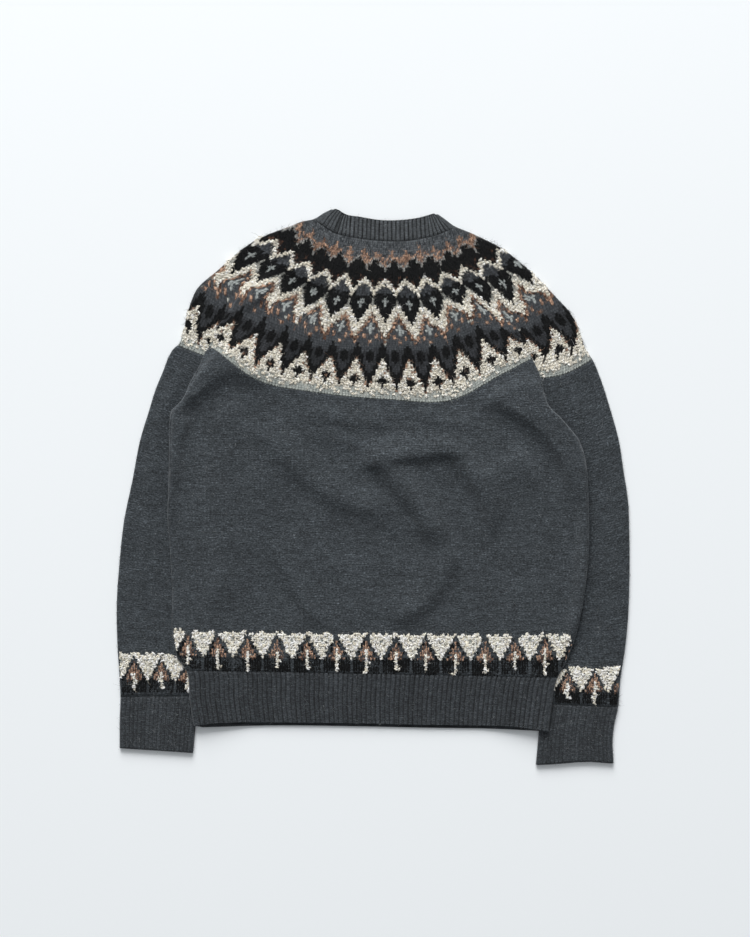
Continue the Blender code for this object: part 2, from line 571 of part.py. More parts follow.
def neckband():
    """The ribbed band on the yoke's neck edge. Its front lies lower, behind its back."""
    left_s = left_outline.between(LEFT_JOINTS["neck"], 0, 4)
    right_s = right_outline.between(RIGHT_JOINTS["neck"], 0, 4)
    left_side, right_side = left_outline.inset(left_s), right_outline.inset(right_s)
    low = np.concatenate([neck_edge[k][:, :2] for k in order])
    keep = np.r_[True, np.linalg.norm(np.diff(low, axis=0), axis=1) > 0.01]
    low = beside(low[keep], -SEAM)
    under_low = beside(neck_edge["front"][:, :2], -SEAM)
    under_low[0], under_low[-1] = low[0], low[-1]
    columns = 2 * NECK_RIBS
    high, under_high = through(NECK_TOP, 41), through(FRONT_NECK_TOP, 13)
    for line in (high, under_high):
        line[0], line[-1] = left_side[-1], right_side[-1]
    left_side[0], right_side[0] = low[0], low[-1]
    plan = patch(along(low, columns + 1), along(high, columns + 1), left_side, right_side)
    under_plan = patch(along(under_low, 13), under_high, left_side, right_side)
    loops, normal = tube(lifted(plan, HIGH), lifted(under_plan, LOW),
                         left_outline.inward(left_s), right_outline.inward(right_s))
    cloth("neckband", loops, normal, CHARCOAL_RIB, ribs(loops, columns))


seam_line = body()
hem(seam_line)
sleeve("left")
sleeve("right")
neckband()
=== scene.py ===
"""The looks of a nordic yoke sweater that lies flat on its front, its sleeves folded under the body."""
import math

import bpy
import numpy as np
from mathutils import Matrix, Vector

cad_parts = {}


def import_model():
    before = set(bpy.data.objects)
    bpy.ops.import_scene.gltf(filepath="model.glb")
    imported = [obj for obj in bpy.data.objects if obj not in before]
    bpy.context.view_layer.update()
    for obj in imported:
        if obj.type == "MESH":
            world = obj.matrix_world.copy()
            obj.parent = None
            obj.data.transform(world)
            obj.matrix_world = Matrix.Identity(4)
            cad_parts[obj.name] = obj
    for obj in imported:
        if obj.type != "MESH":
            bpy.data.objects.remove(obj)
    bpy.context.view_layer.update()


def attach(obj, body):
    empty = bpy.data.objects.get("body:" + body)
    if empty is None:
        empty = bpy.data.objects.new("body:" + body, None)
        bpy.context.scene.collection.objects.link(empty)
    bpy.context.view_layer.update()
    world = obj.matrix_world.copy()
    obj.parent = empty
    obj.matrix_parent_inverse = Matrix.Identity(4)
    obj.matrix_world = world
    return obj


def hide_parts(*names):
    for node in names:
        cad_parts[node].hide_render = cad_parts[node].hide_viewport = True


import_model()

# Cloth, in millimetres
WALL = 2.4            # knitted wall
AIR = 0.8             # between two layers that lie on each other
SEAM = 0.3            # between two pieces at their seam
PITCH = WALL + AIR    # from one layer to the next
TURN = PITCH / 2      # radius of a flattened edge, at the middle of the wall
EDGE = TURN + WALL / 2
LOW = WALL / 2        # middle of the layer that rests on the surface
HIGH = LOW + PITCH    # middle of the layer above it
OVER_SLEEVE = 2 * PITCH   # the body climbs this far over the two layers of a sleeve
RAMP = 80.0           # width over which the body comes down again beside a sleeve
TUCK_TURN = 3.0       # shortest length of cloth in one turn of the yoke's tuck
TUCK_FLAT = (1.5, 8.0)    # flat cloth between the tuck's two turns, at its top and at the yoke's edge
# As shares of the yoke's depth, each with the share over which it happens: the tuck folds over, its flat
# cloth widens, its two ends slip apart along the fold, and they gather at its two sides
TUCK_OVER, TUCK_WIDENS, TUCK_SLIPS, TUCK_PARTS = (0.42, 0.40), (0.8, 0.2), (0.45, 0.55), (0.7, 0.3)
TUCK_SLIP = 0.12       # how far they slip, as a share of the yoke's depth
TUCK_BLEND = 0.1       # share of the back over which its height runs into the tuck's
TURN_STEPS = 8
WINDOW = 10.0          # an edge's direction is taken from this far before a point to this far beyond it

# Counts of raised ribs on the face that shows
HEM_RIBS, CUFF_RIBS, NECK_RIBS = 76, 18, 34

# The garment's outer edges from the neckband down to the cuffs, in centimetres
LEFT_OUTLINE = [
    (-5.2, 37.0), (-6.6, 36.3), (-7.7, 35.6), (-9.5, 35.2), (-11.2, 34.5), (-13.9, 33.5),
    (-16.1, 32.4), (-18.0, 31.0), (-20.5, 28.8), (-23.4, 26.1), (-24.2, 24.2), (-24.9, 21.5),
    (-25.8, 18.9), (-26.4, 18.4), (-26.9, 17.6), (-27.7, 15.6), (-28.8, 12.9), (-29.6, 10.3),
    (-30.8, 6.3), (-31.8, 1.1), (-32.9, -4.2), (-33.5, -9.5), (-33.9, -16.1), (-33.8, -20.7),
    (-33.5, -25.3), (-33.4, -27.6), (-33.5, -30.6), (-33.5, -34.5),
]
LEFT_JOINTS = {"neck": 2, "yoke": 12, "cuff": 25}
RIGHT_OUTLINE = [
    (8.4, 36.3), (9.3, 35.7), (10.8, 34.6), (12.5, 33.9), (14.9, 32.8), (17.6, 31.3),
    (19.1, 30.1), (22.0, 27.5), (24.6, 24.8), (25.9, 23.4), (27.2, 20.9), (28.2, 18.2),
    (29.0, 17.0), (30.2, 14.1), (31.4, 10.3), (32.5, 6.3), (33.1, 2.4), (33.7, -1.6),
    (33.9, -6.9), (33.9, -12.1), (33.7, -17.4), (33.3, -21.4), (32.7, -25.3), (32.4, -29.0),
    (31.9, -31.3), (31.7, -33.0), (31.8, -36.3),
]
RIGHT_JOINTS = {"neck": 2, "yoke": 12, "cuff": 23}

# The sleeves' inner edges, hidden under the body, from the yoke down to the cuffs
LEFT_INNER = [
    (-14.7, 11.7), (-14.7, 7.7), (-15.8, 2.4), (-17.4, -3.6), (-19.0, -9.5), (-20.6, -16.1),
    (-22.0, -22.0), (-23.0, -27.5), (-23.4, -30.9), (-23.8, -35.1),
]
RIGHT_INNER = [
    (16.6, 11.4), (16.4, 6.3), (17.2, 1.1), (18.2, -5.5), (19.4, -12.1), (20.7, -18.7),
    (21.9, -24.7), (22.4, -28.5), (21.9, -32.6), (21.5, -36.7),
]
INNER_CUFF = 7

# The edges on which the body folds, from the neck seam through the yoke's tuck down to the hem
LEFT_FOLD = [
    (-5.9, 34.2), (-11.0, 30.5), (-13.9, 29.3), (-16.6, 26.7), (-19.0, 23.4), (-21.0, 20.3),
    (-21.6, 18.7), (-22.3, 17.6), (-22.8, 16.4), (-24.1, 14.0), (-25.3, 11.5), (-26.0, 10.8),
    (-26.6, 10.2), (-26.8, 9.0), (-26.9, 5.0), (-27.0, -0.3), (-27.1, -4.2), (-26.8, -8.2),
    (-26.5, -13.5), (-26.4, -20.1), (-25.9, -22.3), (-24.6, -24.2), (-24.2, -28.0), (-23.6, -31.7),
]
RIGHT_FOLD = [
    (9.4, 33.8), (14.9, 29.4), (16.8, 26.9), (17.7, 22.4), (18.7, 20.7), (20.2, 18.7),
    (21.0, 17.1), (22.0, 14.9), (22.5, 12.8), (23.2, 10.8), (24.6, 9.4), (26.0, 7.8),
    (27.1, 6.4), (27.8, 4.6), (28.2, 2.4), (28.4, -1.1), (28.5, -6.1), (28.2, -11.5),
    (27.5, -16.2), (26.4, -20.7), (25.5, -23.0), (24.3, -25.1), (23.6, -28.6), (23.1, -32.3),
]
FOLD_YOKE, FOLD_HEM = 6, 21      # the knots at which the yoke ends and the hem's rib begins
FOLD_CORNER = {"left": 12, "right": 9}         # the knot at each underarm
FOLD_DEPTH = (0.0, 0.275, 0.38, 0.55, 0.68, 0.875, 1.0, 1.12)   # yoke depth of knots 0 to 7

# Rings of the yoke: depth from neck to body, share of the left and the right shoulder edge that
# they have reached, then five points across the back
YOKE_RINGS = [
    (0.000, 0.000, 0.000, (-4.6, 33.5), (-2.2, 33.0), (1.6, 32.6), (5.1, 32.7), (8.1, 33.3)),
    (0.275, 0.280, 0.287, (-7.3, 28.3), (-3.7, 27.3), (1.6, 26.7), (5.9, 26.8), (10.6, 28.0)),
    (0.380, 0.395, 0.370, (-9.6, 26.9), (-5.0, 24.9), (1.6, 24.6), (6.9, 24.4), (11.9, 26.3)),
    (0.550, 0.595, 0.555, (-11.9, 24.2), (-6.3, 21.8), (1.6, 20.9), (7.9, 20.9), (13.1, 23.7)),
    (0.680, 0.720, 0.705, (-13.3, 20.9), (-8.1, 18.9), (1.6, 18.2), (8.6, 18.5), (14.1, 20.7)),
    (0.875, 0.880, 0.895, (-13.9, 16.6), (-8.3, 15.4), (1.6, 14.1), (9.5, 14.3), (15.0, 16.8)),
    (1.000, 1.000, 1.000, (-14.5, 13.9), (-8.3, 12.7), (1.6, 11.7), (10.8, 11.7), (16.5, 14.7)),
]
RING_SHARES = (0.0, 0.187, 0.326, 0.544, 0.747, 0.888, 1.0)
FRONT_NECK = [(6.9, 31.2), (1.6, 29.8), (-3.7, 31.4)]      # front neck seam, right to left
FRONT_YOKE = [(16.6, 11.4), (1.6, 9.4), (-14.7, 11.7)]     # front lower edge, right to left
CAP_SAG = {"left": 0.0, "right": 8.0}          # the sleeve side of the last ring hangs this far
CAP_SAGS = (0.88, 0.12)       # from this share of the yoke's depth, over this share

NECK_CORNERS = 5.0, 2.4   # the neckband's upper corners are rounded over these lengths
# Where the neckband's ribs stand, as shares of its lower edge, and where they end, as shares of its upper
# edge: upright at the back, and crowded together at both ends
NECK_FAN = [(0.0, 0.0), (0.155, 0.11), (0.25, 0.165), (0.81, 0.9), (1.0, 1.0)]
NECK_JOIN = 0.155      # where the neckband's end lies over its beginning
NECK_TOP = [
    (-5.2, 37.0), (-3.9, 36.2), (-1.7, 35.8), (0.9, 35.4), (3.6, 35.4), (6.1, 35.7), (8.4, 36.3),
]
FRONT_NECK_TOP = [(-5.2, 37.0), (-3.2, 33.9), (1.6, 32.3), (6.1, 33.7), (8.4, 36.3)]
HEM_END = [
    (-23.6, -31.4), (-21.8, -31.1), (-19.9, -31.0), (-12.3, -31.0), (-2.8, -31.1), (6.7, -31.3),
    (13.9, -31.4), (18.6, -31.5), (23.1, -32.1),
]
FRONT_HEM_END = [
    (-23.6, -31.6), (-12.3, -31.4), (-2.8, -31.5), (6.7, -31.7), (18.6, -31.9), (23.1, -32.1),
]
FRONT_RISE = {"left": (-17.4, 13.4), "right": (18.6, 12.6)}   # hidden, below the tuck
CUFF_ENDS = {
    "left": [(-33.5, -34.4), (-28.6, -34.7), (-23.8, -35.0)],
    "right": [(21.5, -36.6), (23.9, -36.5), (27.1, -36.25), (28.8, -36.2), (30.3, -36.3), (31.8, -36.4)],
}
# The sleeves' upper ends inside the tuck, between the yoke and the inner edge
HIDDEN_CAP = {"left": [(-19.5, 15.3), (-16.9, 13.2)], "right": [(16.9, 11.9), (19.4, 13.4)]}

# Where the body lies over a sleeve: y, then x of the sleeve's inner edge on both sides, and the
# share of the full climb
OVER = [
    (26.8, -16.2, 16.4, 0.0), (24.0, -17.0, 17.0, 0.35), (21.0, -17.4, 17.4, 0.9),
    (19.0, -17.6, 17.4, 1.0), (15.6, -16.0, 16.8, 1.0), (11.6, -14.3, 16.2, 1.0),
    (2.4, -15.2, 16.6, 1.0), (-9.5, -18.7, 18.7, 1.0), (-21.4, -21.6, 21.1, 1.0),
    (-32.6, -23.0, 21.6, 1.0),
]

# Soft shape of the upper wall: from point to point in centimetres, rise and half width in mm
SWELLS = [
    ((0.0, 6.0), (0.0, -14.0), 5.0, 120.0),
    ((-15.0, 24.0), (-12.0, 19.0), 2.4, 30.0),
    ((-25.0, 12.0), (-14.0, 16.5), 3.5, 22.0),
    ((-20.0, 0.0), (-19.5, -14.0), 2.4, 26.0),
    ((1.0, 22.0), (1.0, 18.0), 2.5, 90.0),
    ((25.2, 4.0), (25.8, 1.0), 4.0, 22.0),
    ((13.4, 6.6), (16.4, -1.0), 2.0, 22.0),
]
# Folds of the body's upper wall: a path in cm with the gentle side on its left, the rise and the reach
# of the gentle and of the steep side in mm
FOLDS = [
    (((-3.2, 1.2), (-0.3, 2.6), (3.0, 3.3), (7.3, 3.8), (13.0, 4.6)), 8.6, 17, 5.8),
    (((-1.9, 5.6), (1.4, 1.5), (3.9, -1.8), (5.9, -4.5), (8.4, -9.4)), 13.0, 15, 8.0),
    (((-15.8, 7.9), (-11.4, 2.2), (-7.0, -1.5), (-2.4, -3.6), (4.0, -5.0)), 8.5, 18, 11.0),
    (((8.0, 6.6), (10.8, 3.2), (12.8, 0.4), (14.3, -2.6), (15.2, -8.0)), 10.5, 12, 8.0),
    (((13.6, 0.4), (15.0, -2.8), (15.8, -5.4), (16.6, -9.0)), -2.4, 9, 7.0),
    (((21.0, 5.6), (16.4, 3.3), (12.6, 1.2)), 6.5, 26, 9.0),
    (((12.6, 9.2), (15.4, 8.2), (18.1, 6.5), (21.6, 3.4), (23.1, 1.2), (24.0, -2.0)), -6.0, 11, 10.0),
    (((-24.0, 5.8), (-21.6, 8.8), (-20.0, 10.2), (-18.4, 11.0), (-16.8, 11.1), (-14.0, 9.6)), -5.5, 10, 9.5),
    (((-25.6, -1.0), (-25.3, 3.0), (-24.7, 6.5), (-23.4, 10.5)), 8.5, 8, 7.0),
    (((-22.9, 9.0), (-23.6, 5.6), (-23.9, 1.4), (-23.6, -1.6)), -3.6, 7, 6.0),
    (((1.2, -18.9), (5.7, -17.1), (8.5, -14.8), (10.3, -11.7), (12.4, -5.8)), 8.0, 18, 8.0),
    (((-14.8, -6.6), (-11.7, -11.9), (-10.2, -14.8), (-8.8, -16.9), (-6.0, -19.8)), 5.6, 13, 4.8),
    (((-25.6, 9.0), (-23.9, 11.6), (-22.4, 13.0), (-20.6, 14.4), (-18.4, 15.2), (-16.2, 14.6), (-12.8, 12.6)),
     13.0, 14, 11.0),
    (((-17.8, 1.0), (-17.7, 8.3), (-18.1, 14.0)), 3.2, 12, 7),
    (((-19.0, -17.4), (-18.5, -6.9), (-19.0, -2.6), (-21.8, 4.6)), 5.4, 14, 9),
    (((-3.7, -5.8), (2.2, -5.7), (11.5, -6.2)), 1.6, 11, 6),
    (((-11.0, 9.4), (-4.4, 8.1), (2.5, 7.2)), 5.0, 12, 9),
    (((-9.6, 6.7), (-3.7, 5.4), (1.5, 4.9)), 3.4, 10, 8),
    (((4.6, 9.2), (9.6, 7.8), (14.7, 7.1)), 2.8, 10, 8),
    (((-17.8, 7.7), (-13.9, 5.9), (-9.9, 5.5)), 2.2, 9, 6),
    (((-19.6, 32.0), (-13.6, 29.5), (-10.7, 28.2), (-5.3, 25.4)), 4.0, 13, 6.5),
    (((-16.4, 28.0), (-13.6, 22.8), (-12.6, 20.9), (-11.0, 15.9)), 5.0, 14, 7),
    (((-17.2, 22.6), (-14.7, 24.9), (-12.1, 27.3)), 3.6, 10, 3.4),
]
# Rolls along the body's folded edges, in the same columns
ROLLS = [
    (((-26.2, -8.0), (-25.8, 3.7), (-25.5, 8.3), (-24.9, 10.6), (-23.3, 12.5), (-20.0, 17.3)), 9.0, 12, 5.5),
    (((13.4, 12.0), (17.4, 10.6), (20.3, 8.8), (23.6, 5.8), (25.2, 3.2), (26.4, 0.0), (27.1, -3.6)),
     24.0, 24, 11.0),
    (((26.8, 3.0), (27.2, -6.0), (26.8, -12.0), (26.0, -17.0), (24.4, -22.5)), 11.0, 12, 8),
]
CREST = 1.2            # a fold's crest lies this many steep reaches to the left of its path
FOLD_POINTS = 4        # points along a fold's path for each point given
FOLD_FADE, ROLL_FADE = 18.0, 5.0      # the soft shape and the rolls start this far inside a folded edge
CALM_TOP, CALM_FOOT = (340.0, 60.0), (-320.0, 70.0)   # in y, towards which they fade, and over what length
SOFTEN, CAP_SOFTEN = 1.5, 1.2         # rise over which folds sink into flat cloth, and flatten at their limit
HIGHEST = 17.2         # most that the upper wall rises above two flat layers
BODY_ROOM = (2.6, 138.0, 42.0)        # it may rise this much more below this y, over this length
YARN_TOP = 25.8        # no yarn stands higher than this
FOLD_END = 0.24        # share of its length over which a fold rises and dies away
SLEEVE_SWELL = 2.4     # rise of a sleeve's upper wall where it shows
SWELL_ENDS = 0.15      # share of the sleeve's length over which it starts and ends

# Fineness of the grids
BACK_COLUMNS, CAP_COLUMNS = 156, 20
FRONT_ENDS, FRONT_MIDDLE = 24, 60
YOKE_ROWS = 54
BODY_ROWS = (100, 40)         # below and above the underarm
SLEEVE_ROWS, SLEEVE_COLUMNS, SLEEVE_UNDER = 92, 40, 16
HEM_ROWS, CUFF_ROWS, NECK_ROWS = 22, 20, 20
FRONT_COLUMNS, SEAM_COLUMNS = 85, 21
HEM_COLUMNS, HEM_UNDER = 41, 57            # given points of the hem's end, and columns of its under wall
CUFF_COLUMNS, CUFF_UNDER = 21, 17
NECK_COLUMNS, NECK_UNDER = 81, 49
RIB_STEPS = 3                 # columns from a groove to the next crest
ORDER = ("left cap", "left tuck", "back", "right tuck", "right cap")
EVEN = np.linspace(0, 1, BACK_COLUMNS + 1)
SPREAD = EVEN - 0.055 * np.sin(2 * math.pi * EVEN)     # the back's columns, closer beside the folded edges


def ease(x):
    """From 0 to 1 as x does, with a soft start and end."""
    x = np.clip(x, 0.0, 1.0)
    return x * x * (3 - 2 * x)


def after(x, start, over):
    """From 0 at the start to 1, this far beyond it."""
    return ease((x - start) / over)


def before(x, end, over):
    """From 1, this far before the end, to 0 at the end."""
    return ease((end - x) / over)


def smooth(knots, values, at):
    """Values at `at` on a curve through the knots, with each knot's slope taken from both sides."""
    knots = np.asarray(knots, float)
    values = np.asarray(values, float)
    slope = np.gradient(values, knots, axis=0)
    at = np.clip(np.asarray(at, float), knots[0], knots[-1])
    i = np.clip(np.searchsorted(knots, at, side="right") - 1, 0, len(knots) - 2)
    span = knots[i + 1] - knots[i]
    s = (at - knots[i]) / span
    if values.ndim > 1:
        span, s = span[..., None], s[..., None]
    held = (1 + 2 * s) * (1 - s) ** 2 * values[i] + s * s * (3 - 2 * s) * values[i + 1]
    return held + span * (s * (1 - s) ** 2 * slope[i] + s * s * (s - 1) * slope[i + 1])


def lengths(points):
    """Length along a run of points, up to each of them."""
    points = np.asarray(points, float)
    return np.r_[0.0, np.cumsum(np.linalg.norm(np.diff(points, axis=0), axis=1))]


def unit(vectors, least=0.0):
    """The vectors at length 1."""
    return vectors / (np.linalg.norm(vectors, axis=-1)[..., None] + least)


def around(loops):
    """Length round each closed loop, up to each of its points and back to the first."""
    closed_loops = np.concatenate([loops, loops[:, :1]], axis=1)
    runs = np.cumsum(np.linalg.norm(np.diff(closed_loops, axis=1), axis=2), axis=1)
    return np.concatenate([np.zeros((len(loops), 1)), runs], axis=1)


def through(points_cm, count):
    """Evenly spaced points on a curve through the given ones, in millimetres."""
    points = np.array(points_cm, float) * 10
    knots = lengths(points)
    return smooth(knots, points, np.linspace(0, knots[-1], count))


def along(path, count):
    """Evenly spaced points on the straight runs of a path."""
    knots = lengths(path)
    at = np.linspace(0, knots[-1], count)
    return np.stack([np.interp(at, knots, path[:, k]) for k in (0, 1)], axis=1)


def placed(path, shares):
    """Points at these shares of a path's length."""
    knots = lengths(path)
    return np.stack([np.interp(shares * knots[-1], knots, path[:, k]) for k in (0, 1)], axis=1)


def between(path, start, end):
    """The path stretched to run from one x to another."""
    share = (path[:, 0] - path[0, 0]) / (path[-1, 0] - path[0, 0])
    return np.stack([start + share * (end - start), path[:, 1]], axis=1)


def beside(path, distance):
    """The path moved to its right-hand side."""
    step = unit(np.gradient(path, axis=0))
    return path + distance * np.stack([step[:, 1], -step[:, 0]], axis=1)


class Edge:
    """A folded edge in plan. `side` is 1 where the cloth lies towards +x, -1 where towards -x."""

    def __init__(self, points_cm, side):
        self.points = np.array(points_cm, float) * 10
        self.knots = lengths(self.points)
        self.side = side

    def at(self, s):
        return smooth(self.knots, self.points, s)

    def inward(self, s):
        """Which way the cloth lies from the edge, square to its run."""
        run = unit(self.at(np.asarray(s) + WINDOW) - self.at(np.asarray(s) - WINDOW))
        return self.side * np.stack([-run[..., 1], run[..., 0]], axis=-1)

    def between(self, start, end, count):
        """Evenly spaced lengths from one knot to another."""
        return np.linspace(self.knots[start], self.knots[end], count)

    def inset(self, s):
        """Where the flat cloth ends and the edge's turn begins."""
        return self.at(s) + EDGE * self.inward(s)


left_outline = Edge(LEFT_OUTLINE, 1)
right_outline = Edge(RIGHT_OUTLINE, -1)
left_inner = Edge(LEFT_INNER, -1)
right_inner = Edge(RIGHT_INNER, 1)
left_fold = Edge(LEFT_FOLD, 1)
right_fold = Edge(RIGHT_FOLD, -1)


def near(x, y, run):
    """Distance from a run between two points in centimetres."""
    (ax, ay), (bx, by) = np.array(run, float) * 10
    share = ((x - ax) * (bx - ax) + (y - ay) * (by - ay)) / ((bx - ax) ** 2 + (by - ay) ** 2)
    share = np.clip(share, 0, 1)
    return np.hypot(x - ax - share * (bx - ax), y - ay - share * (by - ay))


def climb(x, y):
    """How far the body is lifted by the sleeves under it."""
    table = np.array(OVER)[::-1]
    left, right, share = (np.interp(y, table[:, 0] * 10, table[:, k]) for k in (1, 2, 3))
    beside_left = ease(1 - (x - left * 10) / RAMP)
    beside_right = ease(1 - (right * 10 - x) / RAMP)
    return OVER_SLEEVE * share * np.maximum(beside_left, beside_right)


def fold(x, y, path, broad, steep):
    """From 0 to 1 beside a path: gentle on its left, steep across it, and fading at its ends."""
    path = through(path, FOLD_POINTS * len(path))
    nearest, side = np.full(np.shape(x), 1e9), np.zeros(np.shape(x))
    for (ax, ay), (sx, sy) in zip(path, np.diff(path, axis=0)):
        t = np.clip(((x - ax) * sx + (y - ay) * sy) / (sx * sx + sy * sy), 0, 1)
        dx, dy = x - ax - t * sx, y - ay - t * sy
        gap = np.hypot(dx, dy)
        side = np.where(gap < nearest, np.sign(sx * dy - sy * dx), side)
        nearest = np.minimum(nearest, gap)
    off = nearest * side - CREST * steep
    profile = np.exp(-0.5 * (off / np.where(off > 0, broad, steep)) ** 2)
    chord = path[-1] - path[0]
    share = ((x - path[0, 0]) * chord[0] + (y - path[0, 1]) * chord[1]) / (chord @ chord)
    return profile * ease(share / FOLD_END) * ease((1 - share) / FOLD_END)


def swell(x, y):
    """Rise of the body's upper wall: broad swells with the folds on them."""
    rise = sum(h * np.exp(-0.5 * (near(x, y, (a, b)) / w) ** 2) for a, b, h, w in SWELLS)
    for path, height, broad, steep in FOLDS:
        rise = rise + height * fold(x, y, path, broad, steep)
    rolls = sum(height * fold(x, y, path, broad, steep) for path, height, broad, steep in ROLLS)
    left = np.interp(y, left_fold.points[::-1, 1], left_fold.points[::-1, 0])
    right = np.interp(y, right_fold.points[::-1, 1], right_fold.points[::-1, 0])
    fade, roll_fade = (after(x, left, reach) * before(x, right, reach) for reach in (FOLD_FADE, ROLL_FADE))
    ends = before(y, *CALM_TOP) * after(y, *CALM_FOOT)
    folds = SOFTEN * np.logaddexp(0, rise / SOFTEN - 1.0)
    rise = (folds * fade + np.maximum(rolls, 0) * roll_fade) * ends
    room = HIGHEST + BODY_ROOM[0] * before(y, *BODY_ROOM[1:]) - climb(x, y)
    return room - CAP_SOFTEN * np.logaddexp(0, (room - rise) / CAP_SOFTEN)


def lifted(plan, height):
    """Points in plan, at this height."""
    return np.concatenate([plan, np.broadcast_to(height, plan.shape[:-1])[..., None]], axis=-1)


def upper(plan):
    """Points in plan, on the body's upper wall."""
    return lifted(plan, HIGH + climb(plan[..., 0], plan[..., 1]) + swell(plan[..., 0], plan[..., 1]))


def patch(low, high, left, right, across=None):
    """Plan points between four edges: low and high run left to right, left and right low to high."""
    v = np.linspace(0, 1, len(left))[:, None, None]
    u = (np.linspace(0, 1, len(low)) if across is None else across)[None, :, None]
    rows = (1 - v) * low[None] + v * high[None]
    columns = (1 - u) * left[:, None] + u * right[:, None]
    corners = (1 - v) * ((1 - u) * low[0] + u * low[-1]) + v * ((1 - u) * high[0] + u * high[-1])
    return rows + columns - corners


TURN_ANGLES = np.linspace(0, math.pi, TURN_STEPS + 1)[1:-1]
TURNED = len(TURN_ANGLES)       # columns of one flattened edge


def turn(start, end, outward):
    """The points of a half turn between two layers, without its two ends."""
    middle, half = (start + end) / 2, (start - end) / 2
    points = [middle + half * math.cos(a) for a in TURN_ANGLES]
    for point, angle in zip(points, TURN_ANGLES):
        point[..., :2] += outward * TURN * math.sin(angle)
    return np.stack(points, axis=-2)


def tube(top, under, left_in, right_in, known=None):
    """Closed loops and the directions out of them: up the left turn, over, down the right, back.

    `known` gives the directions along the top where they are already known, and nan elsewhere.
    """
    left = turn(under[:, 0], top[:, 0], -left_in)
    right = turn(top[:, -1], under[:, -1], -right_in)
    loops = np.concatenate([left, top, right, under[:, ::-1]], axis=1)
    across = np.roll(loops, -1, axis=1) - np.roll(loops, 1, axis=1)
    normal = unit(np.cross(across, np.gradient(loops, axis=0)))
    normal *= np.sign(normal[0, TURNED + top.shape[1] // 2, 2])
    for k, angle in enumerate(TURN_ANGLES):
        normal[:, k] = lifted(-left_in * math.sin(angle), -math.cos(angle))
        k += TURNED + top.shape[1]
        normal[:, k] = lifted(-right_in * math.sin(angle), math.cos(angle))
    if known is not None:
        over = normal[:, TURNED:TURNED + top.shape[1]]
        over[:] = np.where(np.isnan(known), over, known)
    return loops, normal


def tuck(depth):
    """The yoke's tuck at one depth, sleeve first: distance inside the fold and height, and slope."""
    angle = max(math.pi * float(after(depth, *TUCK_OVER)), 1e-3)
    flat = TUCK_FLAT[0] + (TUCK_FLAT[1] - TUCK_FLAT[0]) * float(after(depth, *TUCK_WIDENS))
    radius = max(TURN, TUCK_TURN / angle)
    steps = np.linspace(0, angle, TURN_STEPS + 1)
    first = np.stack([radius * np.sin(steps), radius * (1 - np.cos(steps))], axis=1)
    start = first[-1] + flat * np.array([math.cos(angle), math.sin(angle)])
    second = start + radius * np.stack(
        [math.sin(angle) - np.sin(angle - steps), np.cos(angle - steps) - math.cos(angle)], axis=1)
    points = np.concatenate([first, second])
    points[:, 0] += EDGE - points[-1, 0]
    return points, np.concatenate([steps, angle - steps])


def crease(fold, depth, toward):
    """The tuck's points and the directions out of them, from the sleeve's layer up to the body's."""
    profile, slopes = tuck(depth)
    folded = slopes.max() / math.pi
    slip = TUCK_SLIP * float(after(depth, *TUCK_SLIPS))
    even = np.linspace(1, 0, len(profile))
    shares = even + float(after(depth, *TUCK_PARTS)) * (np.where(even > 0.5, 1.0, 0.0) - even)
    s = np.interp(depth + slip * shares, FOLD_DEPTH, fold.knots[:len(FOLD_DEPTH)])
    inward = unit(folded * fold.inward(s) + (1 - folded) * toward)
    points = lifted(fold.at(s) + inward * profile[:, :1], HIGH + profile[:, 1])
    return points, lifted(-inward * np.sin(slopes)[:, None], np.cos(slopes))


def ring(depth):
    """One ring of the yoke as named runs of points, each from left to right."""
    table = np.array([(*row[:3], *np.ravel(row[3:])) for row in YOKE_RINGS])
    row = smooth(table[:, 0], table[:, 1:], depth)
    across = row[2:].reshape(5, 2) * 10
    ends = {}
    for name, edge, joints, share in (("left", left_outline, LEFT_JOINTS, row[0]),
                                      ("right", right_outline, RIGHT_JOINTS, row[1])):
        top, bottom = edge.knots[joints["neck"]], edge.knots[joints["yoke"]]
        ends[name] = top + share * (bottom - top)
    start = left_outline.inset(ends["left"])
    finish = right_outline.inset(ends["right"])
    run = (across[0] - start) / np.linalg.norm(across[0] - start)
    left_tuck, left_facing = crease(left_fold, depth, run)
    run = (across[-1] - finish) / np.linalg.norm(across[-1] - finish)
    right_tuck, right_facing = (part[::-1] for part in crease(right_fold, depth, run))
    points = np.concatenate([left_tuck[-1:, :2], across, right_tuck[:1, :2]])
    back = upper(smooth(RING_SHARES, points, SPREAD))
    back[:, 2] += (left_tuck[-1, 2] - back[0, 2]) * ease(1 - SPREAD / TUCK_BLEND)
    back[:, 2] += (right_tuck[0, 2] - back[-1, 2]) * ease(1 - (1 - SPREAD) / TUCK_BLEND)
    share = np.linspace(0, 1, CAP_COLUMNS + 1)[:, None]
    hang = np.array([0.0, -1.0]) * np.sin(math.pi * share) * float(after(depth, *CAP_SAGS))
    left_cap = start + (left_tuck[0, :2] - start) * share + CAP_SAG["left"] * hang
    right_cap = right_tuck[-1, :2] + (finish - right_tuck[-1, :2]) * share + CAP_SAG["right"] * hang
    middle = (1 - depth) * np.array(FRONT_NECK) + depth * np.array(FRONT_YOKE)
    path = np.concatenate([[finish], middle * 10, [start]])
    knots = lengths(path)
    stops = np.concatenate([np.linspace(0, knots[1], FRONT_ENDS + 1),
                            np.linspace(knots[1], knots[3], FRONT_MIDDLE + 1)[1:],
                            np.linspace(knots[3], knots[4], FRONT_ENDS + 1)[1:]])
    front = smooth(knots, path, stops)[::-1]
    return {
        "left cap": lifted(left_cap, HIGH), "left tuck": left_tuck, "back": back,
        "right tuck": right_tuck, "right cap": lifted(right_cap, HIGH),
        "front": lifted(front, LOW), "left facing": left_facing, "right facing": right_facing,
        "left in": left_outline.inward(ends["left"]), "right in": right_outline.inward(ends["right"]),
    }


